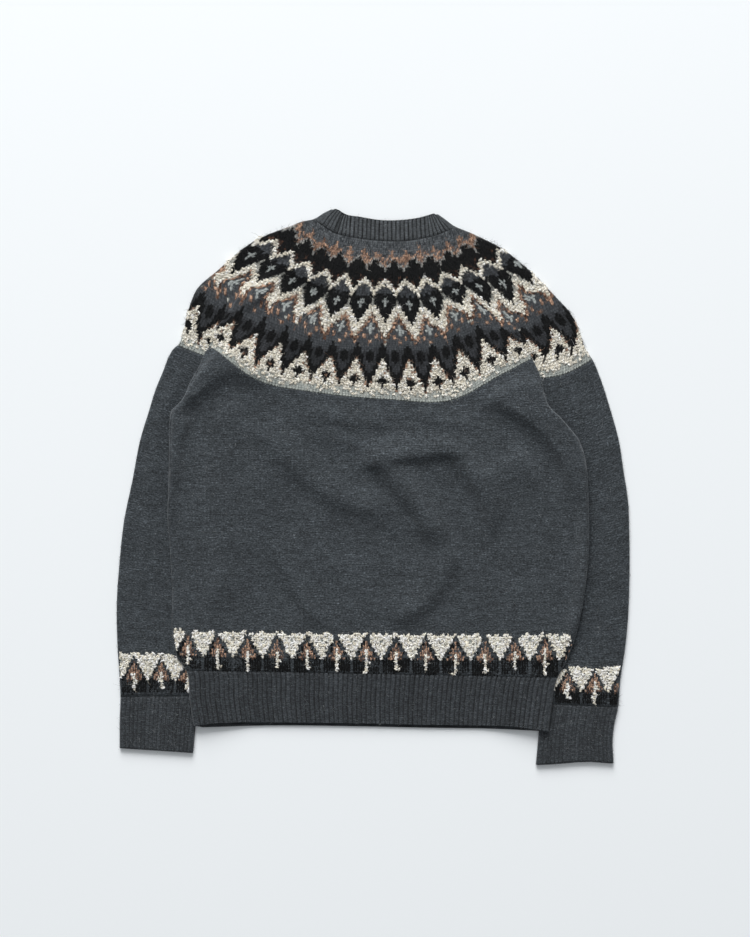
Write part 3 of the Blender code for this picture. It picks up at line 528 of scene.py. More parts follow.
def below_tuck(fold, points, side):
    """The front panel's edge below the yoke's tuck, from the fold towards the front yoke."""
    s = fold.knots[len(FOLD_DEPTH) - 1]
    run = fold.at(s + 5) - fold.at(s - 5)
    run *= 2 * SEAM / np.linalg.norm(run)
    inner = points[TURN_STEPS // 2, :2] + WALL * fold.inward(s)
    return np.stack([points[TURN_STEPS, :2] + run, inner + run, np.array(FRONT_RISE[side]) * 10])


def spread_out(points, count):
    """Points along a run, `count` of them, evenly by number and not by length."""
    index = np.linspace(0, len(points) - 1, count)
    return np.stack([np.interp(index, np.arange(len(points)), points[:, k]) for k in (0, 1)], axis=1)


# ---------------------------------------------------------------- grids of the pieces
def yoke_grid():
    """The yoke's closed loops from the neck seam down, with the directions out of them."""
    depths = np.linspace(0, 1, YOKE_ROWS + 1)
    rings = [ring(d) for d in depths]
    top = np.stack([np.concatenate([r[k] if k.endswith("tuck") else r[k][1:-1] if k == "back" else
                                    r[k][:-1] if k == "left cap" else r[k][1:] for k in ORDER])
                    for r in rings])
    under = np.stack([r["front"] for r in rings])
    known = np.full(top.shape, np.nan)
    tucked = 2 * TURN_STEPS + 2
    known[:, CAP_COLUMNS:CAP_COLUMNS + tucked] = np.stack([r["left facing"] for r in rings])
    known[:, -CAP_COLUMNS - tucked:-CAP_COLUMNS] = np.stack([r["right facing"] for r in rings])
    loops, normal = tube(top, under, np.stack([r["left in"] for r in rings]),
                         np.stack([r["right in"] for r in rings]), known)
    return rings, depths, loops, normal, top.shape[1]


def body_grids(edge):
    """The seam above the hem, then the back's and the front's open grids, from the hem up."""
    left_s = np.concatenate([left_fold.between(FOLD_HEM, FOLD_CORNER["left"], BODY_ROWS[0] + 1),
                             left_fold.between(FOLD_CORNER["left"], FOLD_YOKE, BODY_ROWS[1] + 1)[1:]])
    right_s = np.concatenate([right_fold.between(FOLD_HEM, FOLD_CORNER["right"], BODY_ROWS[0] + 1),
                              right_fold.between(FOLD_CORNER["right"], FOLD_YOKE, BODY_ROWS[1] + 1)[1:]])
    left_side, right_side = left_fold.inset(left_s), right_fold.inset(right_s)
    low = left_side[0] + SPREAD[:, None] * (right_side[0] - left_side[0])
    high = beside(edge["back"][:, :2], SEAM)
    left_side[-1], right_side[-1] = high[0], high[-1]
    back = patch(low, high, left_side, right_side, SPREAD)
    seam = along(beside(edge["front"][FRONT_ENDS:-FRONT_ENDS, :2], SEAM), SEAM_COLUMNS)
    left_part = below_tuck(left_fold, edge["left tuck"], "left")
    right_part = below_tuck(right_fold, edge["right tuck"][::-1], "right")
    front_high = np.concatenate([high[:1], left_part, seam, right_part[::-1], high[-1:]])
    front = patch(spread_out(low, FRONT_COLUMNS), spread_out(front_high, FRONT_COLUMNS),
                  left_side, right_side)
    loops, normal = tube(upper(back), lifted(front, LOW + climb(front[..., 0], front[..., 1])),
                         left_fold.inward(left_s), right_fold.inward(right_s))
    first = TURNED // 2
    last = TURNED + back.shape[1] + first
    up = slice(first, last + 1)
    down = list(range(last, loops.shape[1])) + list(range(first + 1))
    back_loops, back_normal = loops[:, up].copy(), normal[:, up].copy()
    front_loops, front_normal = loops[::2, down].copy(), normal[::2, down].copy()
    for grid, shift in ((back_loops, SEAM / 2), (front_loops, -SEAM / 2)):
        grid[:, (0, -1), 2] += shift
    return low, (back_loops, back_normal), (front_loops, front_normal)


def hem_grid(seam_line):
    """The hem's closed loops, from its free end up to the body."""
    left_s, right_s = left_fold.between(-1, FOLD_HEM, HEM_ROWS), right_fold.between(-1, FOLD_HEM, HEM_ROWS)
    left_side, right_side = left_fold.inset(left_s), right_fold.inset(right_s)
    high = beside(seam_line, SEAM)
    columns = 2 * HEM_RIBS * RIB_STEPS
    ends = between(through(HEM_END, HEM_COLUMNS), left_side[0, 0], right_side[0, 0])
    low = between(through(FRONT_HEM_END, HEM_UNDER), left_side[0, 0], right_side[0, 0])
    left_side[0], right_side[0] = ends[0], ends[-1]
    low[0], low[-1] = ends[0], ends[-1]
    left_side[-1], right_side[-1] = high[0], high[-1]
    top_plan = patch(along(ends, columns + 1), along(high, columns + 1), left_side, right_side)
    under_plan = patch(low, along(high, HEM_UNDER), left_side, right_side)
    under = lifted(under_plan, LOW + climb(under_plan[..., 0], under_plan[..., 1]))
    return *tube(upper(top_plan), under, left_fold.inward(left_s), right_fold.inward(right_s)), columns


def sleeve_sides(side, outer_run, inner_run, rows):
    """A stretch of sleeve between knots, from its lower end up: its outer and inner edge, and the ways in."""
    edges = (left_outline, left_inner) if side == "left" else (right_outline, right_inner)
    stops = [edge.between(*run, rows) for edge, run in zip(edges, (outer_run, inner_run))]
    return [e.inset(s) for e, s in zip(edges, stops)], [e.inward(s) for e, s in zip(edges, stops)]


def sleeve_grids(side, edge):
    """One sleeve's closed loops, then its cuff's, each from its lower end up."""
    left = side == "left"
    joints, fold = (LEFT_JOINTS, left_fold) if left else (RIGHT_JOINTS, right_fold)
    order = 1 if left else -1            # the outer edge comes first on the left
    cap, front = edge[side + " cap"][:, :2], edge["front"][:, :2]
    hidden = np.array(HIDDEN_CAP[side]) * 10
    sides, turns = sleeve_sides(side, (joints["cuff"], joints["yoke"]), (INNER_CUFF, 0), SLEEVE_ROWS)
    outer_side, inner_side = sides
    half = SLEEVE_COLUMNS // 2 + 1
    if left:
        high = np.concatenate([cap, along(np.concatenate([cap[-1:], hidden, inner_side[-1:]]), half)[1:]])
        under_high = np.concatenate([front[:FRONT_ENDS], inner_side[-1:]])
    else:
        high = np.concatenate([along(np.concatenate([inner_side[-1:], hidden, cap[:1]]), half)[:-1], cap])
        under_high = np.concatenate([inner_side[-1:], front[-FRONT_ENDS:]])
    high, under_high = beside(high, SEAM), beside(under_high, SEAM)
    under_high[0], under_high[-1] = high[0], high[-1]
    outer_side[-1], inner_side[-1] = high[::order][0], high[::order][-1]
    sides, turns = sides[::order], turns[::order]
    low = along(np.stack([sides[0][0], sides[1][0]]), SLEEVE_COLUMNS + 1)
    plan = patch(low, high, *sides)
    under_plan = patch(along(low, SLEEVE_UNDER + 1), spread_out(under_high, SLEEVE_UNDER + 1), *sides)
    shows = np.interp(plan[..., 1], fold.points[::-1, 1], fold.points[::-1, 0])
    outside = outer_side[:, :1]
    share = (plan[..., 0] - outside) / (shows - outside)
    down = np.linspace(0, 1, SLEEVE_ROWS)[:, None]
    rise = (np.sin(math.pi * np.clip(share, 0, 1)) ** 2
            * ease(down / SWELL_ENDS) * ease((1 - down) / SWELL_ENDS)) * SLEEVE_SWELL
    arm = tube(lifted(plan, HIGH + rise), lifted(under_plan, LOW), *turns)

    sides, turns = (pair[::order] for pair in sleeve_sides(side, (-1, joints["cuff"]), (-1, INNER_CUFF),
                                                           CUFF_ROWS))
    end = between(through(CUFF_ENDS[side], CUFF_COLUMNS), sides[0][0, 0], sides[1][0, 0])
    high = beside(low, SEAM)
    sides[0][0], sides[1][0] = end[0], end[-1]
    sides[0][-1], sides[1][-1] = high[0], high[-1]
    columns = 2 * CUFF_RIBS * RIB_STEPS
    plan = patch(along(end, columns + 1), along(high, columns + 1), *sides)
    under_plan = patch(along(end, CUFF_UNDER), along(high, CUFF_UNDER), *sides)
    return arm, (*tube(lifted(plan, HIGH), lifted(under_plan, LOW), *turns), columns)


def neck_grid(edge):
    """The neckband's closed loops, from the yoke up."""
    left_s = left_outline.between(LEFT_JOINTS["neck"], 0, NECK_ROWS)
    right_s = right_outline.between(RIGHT_JOINTS["neck"], 0, NECK_ROWS)
    left_side, right_side = left_outline.inset(left_s), right_outline.inset(right_s)
    low = np.concatenate([edge[k][:, :2] for k in ORDER])
    keep = np.r_[True, np.linalg.norm(np.diff(low, axis=0), axis=1) > 0.01]
    low = beside(low[keep], -SEAM)
    under_low = beside(edge["front"][:, :2], -SEAM)
    under_low[0], under_low[-1] = low[0], low[-1]
    columns = 2 * NECK_RIBS * (RIB_STEPS + 1)
    high, under_high = through(NECK_TOP, NECK_COLUMNS), through(FRONT_NECK_TOP, NECK_UNDER)
    for sides, step, corner in ((left_side, left_outline.inward(left_s), NECK_CORNERS[0]),
                                (right_side, right_outline.inward(right_s), NECK_CORNERS[1])):
        short = np.clip(1 - np.linalg.norm(sides - sides[-1], axis=1) / corner, 0, 1)
        sides += step * (corner * (1 - np.sqrt(1 - 0.9 * short ** 2)))[:, None]
    high = between(high, left_side[-1, 0], right_side[-1, 0])
    for gap, corner in zip((high[:, 0] - high[0, 0], high[-1, 0] - high[:, 0]), NECK_CORNERS):
        high[:, 1] -= 0.5 * corner * np.clip(1 - gap / corner, 0, 1) ** 2
    for line in (high, under_high):
        line[0], line[-1] = left_side[-1], right_side[-1]
    left_side[0], right_side[0] = low[0], low[-1]
    share = np.linspace(0, 1, columns + 1)
    top_share = np.interp(share, *np.transpose(NECK_FAN))
    plan = patch(placed(low, share), placed(high, top_share), left_side, right_side)
    under_plan = patch(along(under_low, NECK_UNDER), under_high, left_side, right_side)
    return *tube(lifted(plan, HIGH), lifted(under_plan, LOW),
                 left_outline.inward(left_s), right_outline.inward(right_s)), columns


# ---------------------------------------------------------------- meshes
chance = np.random.default_rng(11)
MM = 0.001
WAVES = 5              # crossing waves in an uneven field
UNEVEN = 0.4           # height of the cloth's slight unevenness
INSIDE_SHADE = 0.6     # painted shade on the inside of a coloured wall, against its outside


def place_object(name, data):
    """A new object in the scene."""
    made_object = bpy.data.objects.new(name, data)
    bpy.context.scene.collection.objects.link(made_object)
    return made_object


def make(name, points, faces, material, uv=None, colours=None):
    """A mesh object from numpy arrays: points in millimetres, faces of one size."""
    mesh = bpy.data.meshes.new(name)
    mesh.vertices.add(len(points))
    mesh.vertices.foreach_set("co", (np.asarray(points, np.float32) * MM).ravel())
    size = faces.shape[1]
    mesh.loops.add(faces.size)
    mesh.loops.foreach_set("vertex_index", faces.astype(np.int32).ravel())
    mesh.polygons.add(len(faces))
    mesh.polygons.foreach_set("loop_start", np.arange(0, faces.size, size, dtype=np.int32))
    mesh.update(calc_edges=True)
    mesh.shade_smooth()
    if uv is not None:
        layer = mesh.uv_layers.new(name="knit")
        layer.uv.foreach_set("vector", uv.astype(np.float32).ravel())
    if colours is not None:
        layer = mesh.color_attributes.new(name="yarn", type="FLOAT_COLOR", domain="POINT")
        full = np.concatenate([colours, np.ones((len(colours), 1))], axis=1)
        layer.data.foreach_set("color", full.astype(np.float32).ravel())
    mesh.materials.append(material)
    piece = place_object(name, mesh)
    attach(piece, "root")
    return piece


def waves(u, v, seed, size):
    """A soft uneven field between about -1 and 1, from a few crossing waves."""
    pick = np.random.default_rng(seed)
    field = 0
    for _ in range(WAVES):
        turn_by, phase = pick.uniform(0, math.pi), pick.uniform(0, 2 * math.pi)
        length = size * pick.uniform(0.7, 1.6)
        field = field + np.sin(2 * math.pi * (u * math.cos(turn_by) + v * math.sin(turn_by)) / length + phase)
    return field / WAVES ** 0.5 * 0.7


def shell(name, grid, material, closed=True, raised=0.0, uv=None, colours=None):
    """A thin knitted wall on both sides of its middle surface, with its ends closed."""
    middle, normal = grid
    rows, columns = middle.shape[:2]
    raised = np.broadcast_to(raised, (rows, columns))
    outer = middle + normal * (WALL / 2 + raised)[..., None]
    inner = middle - normal * WALL / 2
    points = np.concatenate([outer.reshape(-1, 3), inner.reshape(-1, 3)])
    inside = rows * columns
    spans = columns if closed else columns - 1
    i = np.arange(spans)
    k = (i + 1) % columns
    base = np.arange(rows - 1)[:, None] * columns
    over = np.stack([base + i, base + k, base + k + columns, base + i + columns], axis=-1).reshape(-1, 4)
    last = (rows - 1) * columns
    parts = [over, over[:, ::-1] + inside, np.stack([k, i, i + inside, k + inside], axis=-1),
             np.stack([last + i, last + k, last + k + inside, last + i + inside], axis=-1)]
    if uv is None:
        uv = np.concatenate([middle[..., :2], middle[:, :1, :2]], axis=1)
    elif not closed:
        uv = np.concatenate([uv, uv[:, :1]], axis=1)
    j = np.arange(rows - 1)[:, None]
    over_uv = np.stack([uv[j, i], uv[j, i + 1], uv[j + 1, i + 1], uv[j + 1, i]], axis=2).reshape(-1, 4, 2)
    low_uv = np.stack([uv[0, i + 1], uv[0, i], uv[0, i], uv[0, i + 1]], axis=1)
    high_uv = np.stack([uv[-1, i], uv[-1, i + 1], uv[-1, i + 1], uv[-1, i]], axis=1)
    corners = [over_uv, over_uv[:, ::-1], low_uv, high_uv]
    if not closed:
        j = np.arange(rows - 1)
        a, b = j * columns, (j + 1) * columns
        parts.append(np.stack([a, b, b + inside, a + inside], axis=-1))
        corners.append(np.stack([uv[j, 0], uv[j + 1, 0], uv[j + 1, 0], uv[j, 0]], axis=1))
        a, b = a + columns - 1, b + columns - 1
        parts.append(np.stack([b, a, a + inside, b + inside], axis=-1))
        end = columns - 1
        corners.append(np.stack([uv[j + 1, end], uv[j, end], uv[j, end], uv[j + 1, end]], axis=1))
    faces, corners = np.concatenate(parts), np.concatenate(corners)
    tri = points[faces[:, :3]]
    if np.linalg.det(tri).sum() + np.linalg.det(points[faces[:, [0, 2, 3]]]).sum() < 0:
        faces, corners = faces[:, ::-1], corners[:, ::-1]
    if colours is not None:
        # Painted shade: the inside of the wall is darker than its outside
        colours = np.concatenate([colours.reshape(-1, 3), colours.reshape(-1, 3) * INSIDE_SHADE])
    return make(name, points, faces, material, corners, colours)


class Skin:
    """Where stitches lie: a grid with a depth for each row and a place across for each column."""

    def __init__(self, points, normals, depths, across):
        self.points, self.normals, self.depths, self.across = points, normals, depths, across

    def at(self, depth, place):
        """Points and normals at places across one depth, and where its row starts and ends."""
        k = float(np.interp(depth, self.depths, np.arange(len(self.depths))))
        j = min(int(k), len(self.depths) - 2)
        a = k - j
        across = (1 - a) * self.across[j] + a * self.across[j + 1]
        found = []
        for grid in (self.points, self.normals):
            row = (1 - a) * grid[j] + a * grid[j + 1]
            found.append(np.stack([np.interp(place, across, row[:, c]) for c in range(3)], axis=-1))
        return found[0], found[1], across[0], across[-1]


# ---------------------------------------------------------------- yarns
def linear(r, g, b):
    """Linear colour from the 0 to 255 values of a yarn as it looks in daylight."""
    c = np.array([r, g, b]) / 255
    return np.where(c <= 0.04045, c / 12.92, ((c + 0.055) / 1.055) ** 2.4)


GREY, RUST, SILVER, BLACK, EMBER, CREAM, SLATE, COLUMN, TIP, STAR, SAGE, BARE = range(12)
# darkest and lightest colour, width and height of a leg, how far it wanders (mm), lift
YARNS = {
    GREY: (linear(40, 44, 48), linear(106, 111, 115), 1.06, 0.60, 0.12, 0.0),
    RUST: (linear(78, 55, 46), linear(214, 176, 150), 0.80, 0.70, 0.45, 0.25),
    SILVER: (linear(148, 148, 146), linear(210, 210, 205), 0.66, 0.60, 0.40, 0.35),
    BLACK: (linear(15, 16, 17), linear(27, 28, 29), 1.16, 0.55, 0.30, 0.05),
    EMBER: (linear(40, 32, 28), linear(100, 70, 55), 0.75, 0.60, 0.35, 0.15),
    CREAM: (linear(210, 203, 186), linear(254, 250, 239), 1.02, 1.05, 0.50, 0.45),
    SLATE: (linear(58, 61, 65), linear(80, 84, 88), 1.06, 0.50, 0.12, 0.0),
    COLUMN: (linear(42, 44, 47), linear(64, 66, 70), 1.06, 0.50, 0.15, 0.0),
    TIP: (linear(132, 134, 130), linear(196, 196, 188), 0.95, 0.60, 0.25, 0.10),
    STAR: (linear(158, 164, 163), linear(184, 190, 188), 0.84, 0.70, 0.15, 0.30),
    SAGE: (linear(154, 160, 157), linear(188, 193, 187), 1.0, 0.50, 0.12, 0.0),
    BARE: (linear(66, 71, 75), linear(66, 71, 75), 1.0, 0.5, 0.0, 0.0),
}
COLOURS = np.array([(YARNS[k][0] + YARNS[k][1]) / 2 for k in range(12)])


def steps(x, knots):
    """Value at x of straight runs between the knots."""
    return np.interp(x, [k for k, _ in knots], [v for _, v in knots])


ROW, BAND_ROW = 2.9, 2.7     # height of a stitch on the yoke and on the bands
# Width of one repeat round the yoke, by depth below the neck seam, in millimetres
PEAKS = [(0, 17.6), (24, 18.9)]
MOTIFS = [(0, 22.0), (30, 24.0), (49, 25.8), (67, 28.8), (80, 32.3), (107, 36.6), (115, 39.6), (146, 40.8)]
POINTS = [(136, 32.5), (150, 33.7), (170, 36.0), (185, 37.7), (212, 39.5)]
POINTS_SHIFT = 0.4
# Half width of the black ovals and of the slate columns, as a share of their repeat
OVAL = [(73.9, 0.49), (78, 0.45), (84.5, 0.375), (91, 0.28), (99, 0.16), (107, 0.02), (108, -1)]
COLUMN_HALF = [(133, 0.5), (139, 0.38), (146, 0.31), (154, 0.27), (162, 0.21), (170, 0.11), (176, -0.02)]
# The rows of motifs, by depth in mm below the neck seam
RUST_TOP = (11.5, 12.0)              # at the middle of a repeat, and how much deeper at its edge
RUST_FOOT = (22.0, 12.6)             # at the edge of a repeat, and how much deeper at its middle
STEM = 1.6                           # half width of the rust's stem
# The cream zigzags: at the middle of a repeat, how much deeper (the low one: higher) at its edge, and
# the power of the curve between them
ZIGZAG_TOP, ZIGZAG_FOOT, LOW_ZIGZAG = (48.6, 14.4, 1.2), (55.6, 14.8, 1.3), (126.2, 31.6, 0.93)
OVALS_FROM, OVAL_STARS, DIAMOND_STARS = 73.9, 79.2, 114.1
SPIKES_FROM, SPOT = 133, (151, 9.5)  # the spot's middle and half height
TRIANGLES, TRIANGLE_CURVE = (152, 41), 0.9     # their tip, their height and the power of their sides
EYE = 184.5                          # the black eye in each triangle
PALE_FROM, PALE = 193, [(193, 0.05), (198, 0.38), (203, 0.8), (208, 1.0)]     # share of pale stitches


def repeat(place, width, shift=0.0):
    """Position within a repeat, from -0.5 to 0.5, and which repeat it is."""
    q = place / width - shift
    return q - np.round(q), np.round(q)


def star(across, along_it, long, loose):
    """A small cross on the centre of a motif, counted in stitches and rows."""
    a, b = np.abs(across), np.abs(along_it)
    return ((a < 0.5) & (b < long)) | ((a < 1.5) & (b < 0.6)) | ((a < 1.5) & (b < 1.6) & (loose < 0.1))


def yoke_chart(t, place):
    """Yarn at depth t below the neck seam and at a place round the yoke, both in millimetres."""
    place = np.asarray(place, float)
    peak, _ = repeat(place, steps(t, PEAKS), 0.5)
    wide = steps(t, MOTIFS)
    motif, number = repeat(place, wide)
    narrow = steps(t, POINTS)
    point, _ = repeat(place, narrow, POINTS_SHIFT)
    m, half, p = np.abs(motif), 0.5 - np.abs(motif), np.abs(point)
    loose = chance.random(place.shape)
    wander = 1.6 * np.sin(number * 2.4) + 0.8 * np.sin(number * 5.1 + 1)
    yarn = np.full(place.shape, GREY)
    # grey ground with the rust flowers hanging from it, fringed with silver
    top = RUST_TOP[0] + RUST_TOP[1] * np.abs(peak) / 0.5 + wander
    bottom = RUST_FOOT[0] + RUST_FOOT[1] * (1 - m / 0.5) + 0.6 * wander
    stem = np.abs(peak) * steps(t, PEAKS) < STEM
    yarn[(t > top) & (t < bottom) & (loose < np.where(stem, 0.95, 0.68))] = RUST
    yarn[t > bottom] = BLACK
    tooth = np.where(np.round(motif * 8) % 2 == 0, 3.8, 0.6)
    yarn[(t > bottom - 2.2) & (t < bottom + tooth) & (t > 22) & (loose < 0.78)] = SILVER
    # first cream zigzag, with dark rust in its valleys
    upper_edge, lower_edge = (middle + drop * (m / 0.5) ** power + 1.2 * (loose - 0.5)
                              for middle, drop, power in (ZIGZAG_TOP, ZIGZAG_FOOT))
    valley = (m > 0.17) | (loose < 0.1)
    yarn[(t > upper_edge - 8) & (t < upper_edge) & (t > 46) & valley & (loose < 0.36)] = EMBER
    below = t > lower_edge
    slate = np.where(loose < 0.5, SLATE, COLUMN)
    yarn[below] = np.where(t + 5 * (loose - 0.5) < 68.5 + 4 * half, slate, BLACK)[below]
    yarn[(t > upper_edge) & (t < lower_edge)] = CREAM
    # ovals, their pale tips and stars
    inside = m < steps(t, OVAL)
    oval = t > OVALS_FROM
    yarn[oval & inside] = BLACK
    yarn[oval & ~inside] = np.where(t + 6 * (loose - 0.5) < 86 + 10 * (m < 0.3), TIP, CREAM)[oval & ~inside]
    yarn[oval & inside & star(motif * 10, (t - OVAL_STARS) / ROW, 2.2, loose)] = STAR
    # second cream zigzag, its rust lining and the slate diamonds with their stars
    low = LOW_ZIGZAG[0] - LOW_ZIGZAG[1] * (m / 0.5) ** LOW_ZIGZAG[2]
    lining = (t > low - 1.5) & (t < low + 6.8 + 2.5 * (m < 0.07))
    yarn[t > low] = SLATE
    yarn[(t > low) & (loose > 0.985)] = TIP
    yarn[lining & (loose < 0.88)] = np.where(loose > 0.62, EMBER, RUST)[lining & (loose < 0.88)]
    yarn[(t > low + 5) & star(half * 10, (t - DIAMOND_STARS) / ROW, 2.6, loose)] = STAR
    away = half * wide
    fleck = (np.abs(away - 7.6) < 2.1) & (np.abs(t - 123) < 3.0)
    fleck |= (away < 3.6) & (np.abs(t - 131.5) < 2.6)
    yarn[fleck & (t > low + 6)] = RUST
    # black spikes between dark columns, over cream triangles
    if t > SPIKES_FROM:
        edge_at = steps(t, COLUMN_HALF)
        column = p < edge_at
        ground = np.where(t + 8 * (loose - 0.5) < 142, SLATE, COLUMN)
        yarn[:] = np.where(column, ground, BLACK)
        yarn[column & (p > edge_at - 0.1) & (t < 139) & (loose < 0.06)] = TIP
        yarn[column & (p / 0.21 + np.abs(t - SPOT[0]) / SPOT[1] < 1)] = BLACK
        reach = 0.5 * np.clip((t - TRIANGLES[0]) / TRIANGLES[1], 0, 1) ** TRIANGLE_CURVE
        side = 0.5 - p
        cream = side < reach
        yarn[cream] = CREAM
        yarn[cream & (side > reach - 0.06) & (loose < 0.5) & (t < 196)] = RUST
        yarn[cream & (side < 0.15) & (np.abs(t - EYE) < 4.8)] = BLACK
        yarn[cream & (side < 0.06) & (np.abs(t - EYE) < 8.4)] = BLACK
        yarn[cream & (side < 0.24) & (np.abs(t - EYE) < 1.5) & (loose < 0.7)] = BLACK
        yarn[cream & (loose > 0.975)] = RUST
    if t > PALE_FROM:
        pale = steps(t, PALE)
        yarn[:] = np.where(loose < pale, SAGE, CREAM)
        yarn[(p < 0.06) & (t < 197) & (loose < 0.5)] = RUST
    return yarn


def band_chart(height, place, width, short):
    """Yarn of the band above a hem or cuff: height above the seam, place across, both in mm."""
    q, number = repeat(np.asarray(place, float), width)
    x, half = np.abs(q * width), (0.5 - np.abs(q)) * width
    loose = chance.random(x.shape)
    ragged = 1.6 * (chance.random(x.shape) - 0.5)
    drip = q * width - 1.6 * np.sin(height / 4 + number * 2.1)
    yarn = np.full(x.shape, BARE)
    black = (height > 1.2 + 0.8 * np.sin(number * 3) + ragged) & (height < 22 + ragged)
    yarn[black & (x < 0.455 * width)] = BLACK
    yarn[(height > 20) & (height < 30) & (half < 2.2) & (loose < 0.5)] = BLACK
    spike = 9.8 * (41 - height) / 20
    yarn[(height > 20) & (height < 42) & (x < spike + 4.2 + ragged) & (loose < 0.45)] = BLACK
    yarn[(height > 19) & (x < spike + 0.9 + ragged) & (loose < 0.97)] = RUST
    yarn[(height > 16) & (height < 24) & (x < 9) & (loose < 0.35)] = EMBER
    ends = 3.5 + 3.5 * np.sin(number * 1.7 + 2)
    yarn[(height > ends) & (height < 29 + 3 * np.sin(number)) & (np.abs(drip) < 1.7)] = CREAM
    top = 53.8 - short + 1.2 * np.sin(number * 5 + q * 9) + 2 * ragged
    yarn[(height > 18) & (height < top) & (half < 0.55 * (height - 17.5) + ragged)] = CREAM
    yarn[(np.abs(height - 43) < 2.2) & (half < 2.6) & (loose < 0.8)] = SAGE
    return yarn


YARN_FOOT = 0.1        # no yarn lies lower than this
LIGHTEST = 0.95        # no yarn is lighter than this


def gathered(parts):
    """Points of many like parts, from one array for each point of a part, within the yarns' heights."""
    points = np.stack(parts, axis=1).reshape(-1, 3)
    points[:, 2] = np.clip(points[:, 2], YARN_FOOT, YARN_TOP)
    return points


def copies(cell, count, each):
    """The faces of one part, repeated for `count` parts of `each` points."""
    cell = np.array(cell)
    return (np.arange(count)[:, None, None] * each + cell[None]).reshape(-1, cell.shape[1])


def shaded(tint, shade, lightest=LIGHTEST):
    """Colours of all points: one tint for each part, times the painted shade of each point of a part."""
    return (np.clip(tint, 0, lightest)[:, None, :] * np.array(shade)[None, :, None]).reshape(-1, 3)


def any_way(n, least=0.0):
    """A random direction across each normal."""
    a = chance.uniform(0, 2 * math.pi, len(n))
    flat = np.stack([np.cos(a), np.sin(a), np.zeros(len(n))], axis=1)
    return unit(flat - n * (flat * n).sum(1)[:, None], least)


# A leg of a stitch: share of its length, width, height and painted shade, darker at its ends
FULL_LEG = ((0.0, 0.45, 0.1, 0.55), (0.3, 1.0, 0.95, 0.95), (0.68, 1.0, 1.0, 1.05), (1.0, 0.5, 0.25, 0.7))
SHORT_LEG = ((0.0, 0.55, 0.15, 0.62), (0.5, 1.0, 1.0, 1.05), (1.0, 0.6, 0.3, 0.78))
LEG_HALF, LEG_SIDE, LEG_SINK = 0.27, 0.74, 0.25    # its half width in stitches, sides' painted shade, ends' sinking
LEG_TINT = 0.06        # how far the legs' brightness varies
# A stitch's foot and its tips, from its middle: down and up in rows, and out to each side in widths
FOOT, TIP_UP, FOOT_OUT, TIP_OUT = 0.72, 0.62, 0.07, 0.29
UNDERSIDE = -0.25      # no stitches where the cloth's normal points further down than this


class Stitches:
    """Gathers the V stitches of all rows, then makes one joined piece for each yarn family."""

    def __init__(self):
        self.legs = []

    def row(self, skin, depth, tall, foot_places, tip_places, wide, yarns, up=1.0):
        """One row of stitches round this depth, from the places of their feet and of their tips."""
        keep = yarns != BARE
        if not keep.any():
            return
        foot_depth, tip_depth = depth + FOOT * tall * up, depth - TIP_UP * tall * up
        foot_normal = skin.at(foot_depth, foot_places[keep])[1]
        for hand in (-1, 1):
            tip_place = tip_places[keep] + hand * TIP_OUT * wide
            tip, tip_normal, left, right = skin.at(tip_depth, tip_place)
            start = skin.at(foot_depth, foot_places[keep] + hand * FOOT_OUT * wide)[0]
            n = unit(foot_normal + tip_normal)
            seen = (tip_place > left) & (tip_place < right) & (n[:, 2] > UNDERSIDE)
            self.legs.append(np.concatenate([
                start[seen], tip[seen], n[seen], np.full((seen.sum(), 1), wide),
                yarns[keep][seen][:, None]], axis=1))

    def build(self, name, yarns, material, full):
        """Joins the legs of these yarns into one piece."""
        legs = np.concatenate(self.legs)
        legs = legs[np.isin(legs[:, 10], yarns)]
        start, end, n, wide = legs[:, :3], legs[:, 3:6], legs[:, 6:9], legs[:, 9]
        code = legs[:, 10].astype(int)
        table = np.array([[*YARNS[k][0], *YARNS[k][1], *YARNS[k][2:]] for k in range(12)])[code]
        dark_end, light_end = table[:, :3], table[:, 3:6]
        broad, tall, wander, lift = table[:, 6:].T
        count = len(legs)
        jitter = chance.normal(0, 1, (2, count, 3)) * wander[None, :, None]
        start, end = start + jitter[0], end + jitter[1]
        along_leg = end - start
        side = unit(np.cross(n, along_leg), 1e-9)
        size = 1 + chance.uniform(-0.5, 0.5, count) * wander
        broad = broad * wide * LEG_HALF * size
        tall = tall * size
        stations = FULL_LEG if full else SHORT_LEG
        middle, shade = [], []
        # Painted shade: each leg is darker at its ends and along its two sides
        for share, w, h, dark in stations:
            for across in (-1.0, 0.0, 1.0):
                height = h * tall * (1 - across * across) + lift * h - LEG_SINK * (1 - h)
                middle.append(start + along_leg * share + side * (across * w * broad)[:, None]
                              + n * height[:, None])
                shade.append(dark * (1.0 if across == 0 else LEG_SIDE))
        mix = chance.random((count, 1))
        tint = (dark_end * (1 - mix) + light_end * mix) * np.exp(chance.normal(0, LEG_TINT, (count, 1)))
        cell = [(r * 3 + c, r * 3 + c + 1, r * 3 + c + 4, r * 3 + c + 3)
                for r in range(len(stations) - 1) for c in range(2)]
        piece = make(name, gathered(middle), copies(cell, count, len(middle))[:, ::-1], material,
                     colours=shaded(tint, shade))
        return piece, (start + end) / 2 + n * (lift + 0.3 * tall)[:, None], n, tint


# A curl: places along it from -1 to 1, each with its share of the yarn's thickness
CURL = ((-1.0, 0.0), (-0.6, 0.85), (0.05, 1.0), (0.65, 0.8), (1.0, 0.0))
CURL_POINTS, CURL_END, CURL_TOP, CURL_LIGHTEST = 11, 0.75, 1.12, 0.96    # points of one; painted shade at its ends, painted light on its top, and its lightest colour
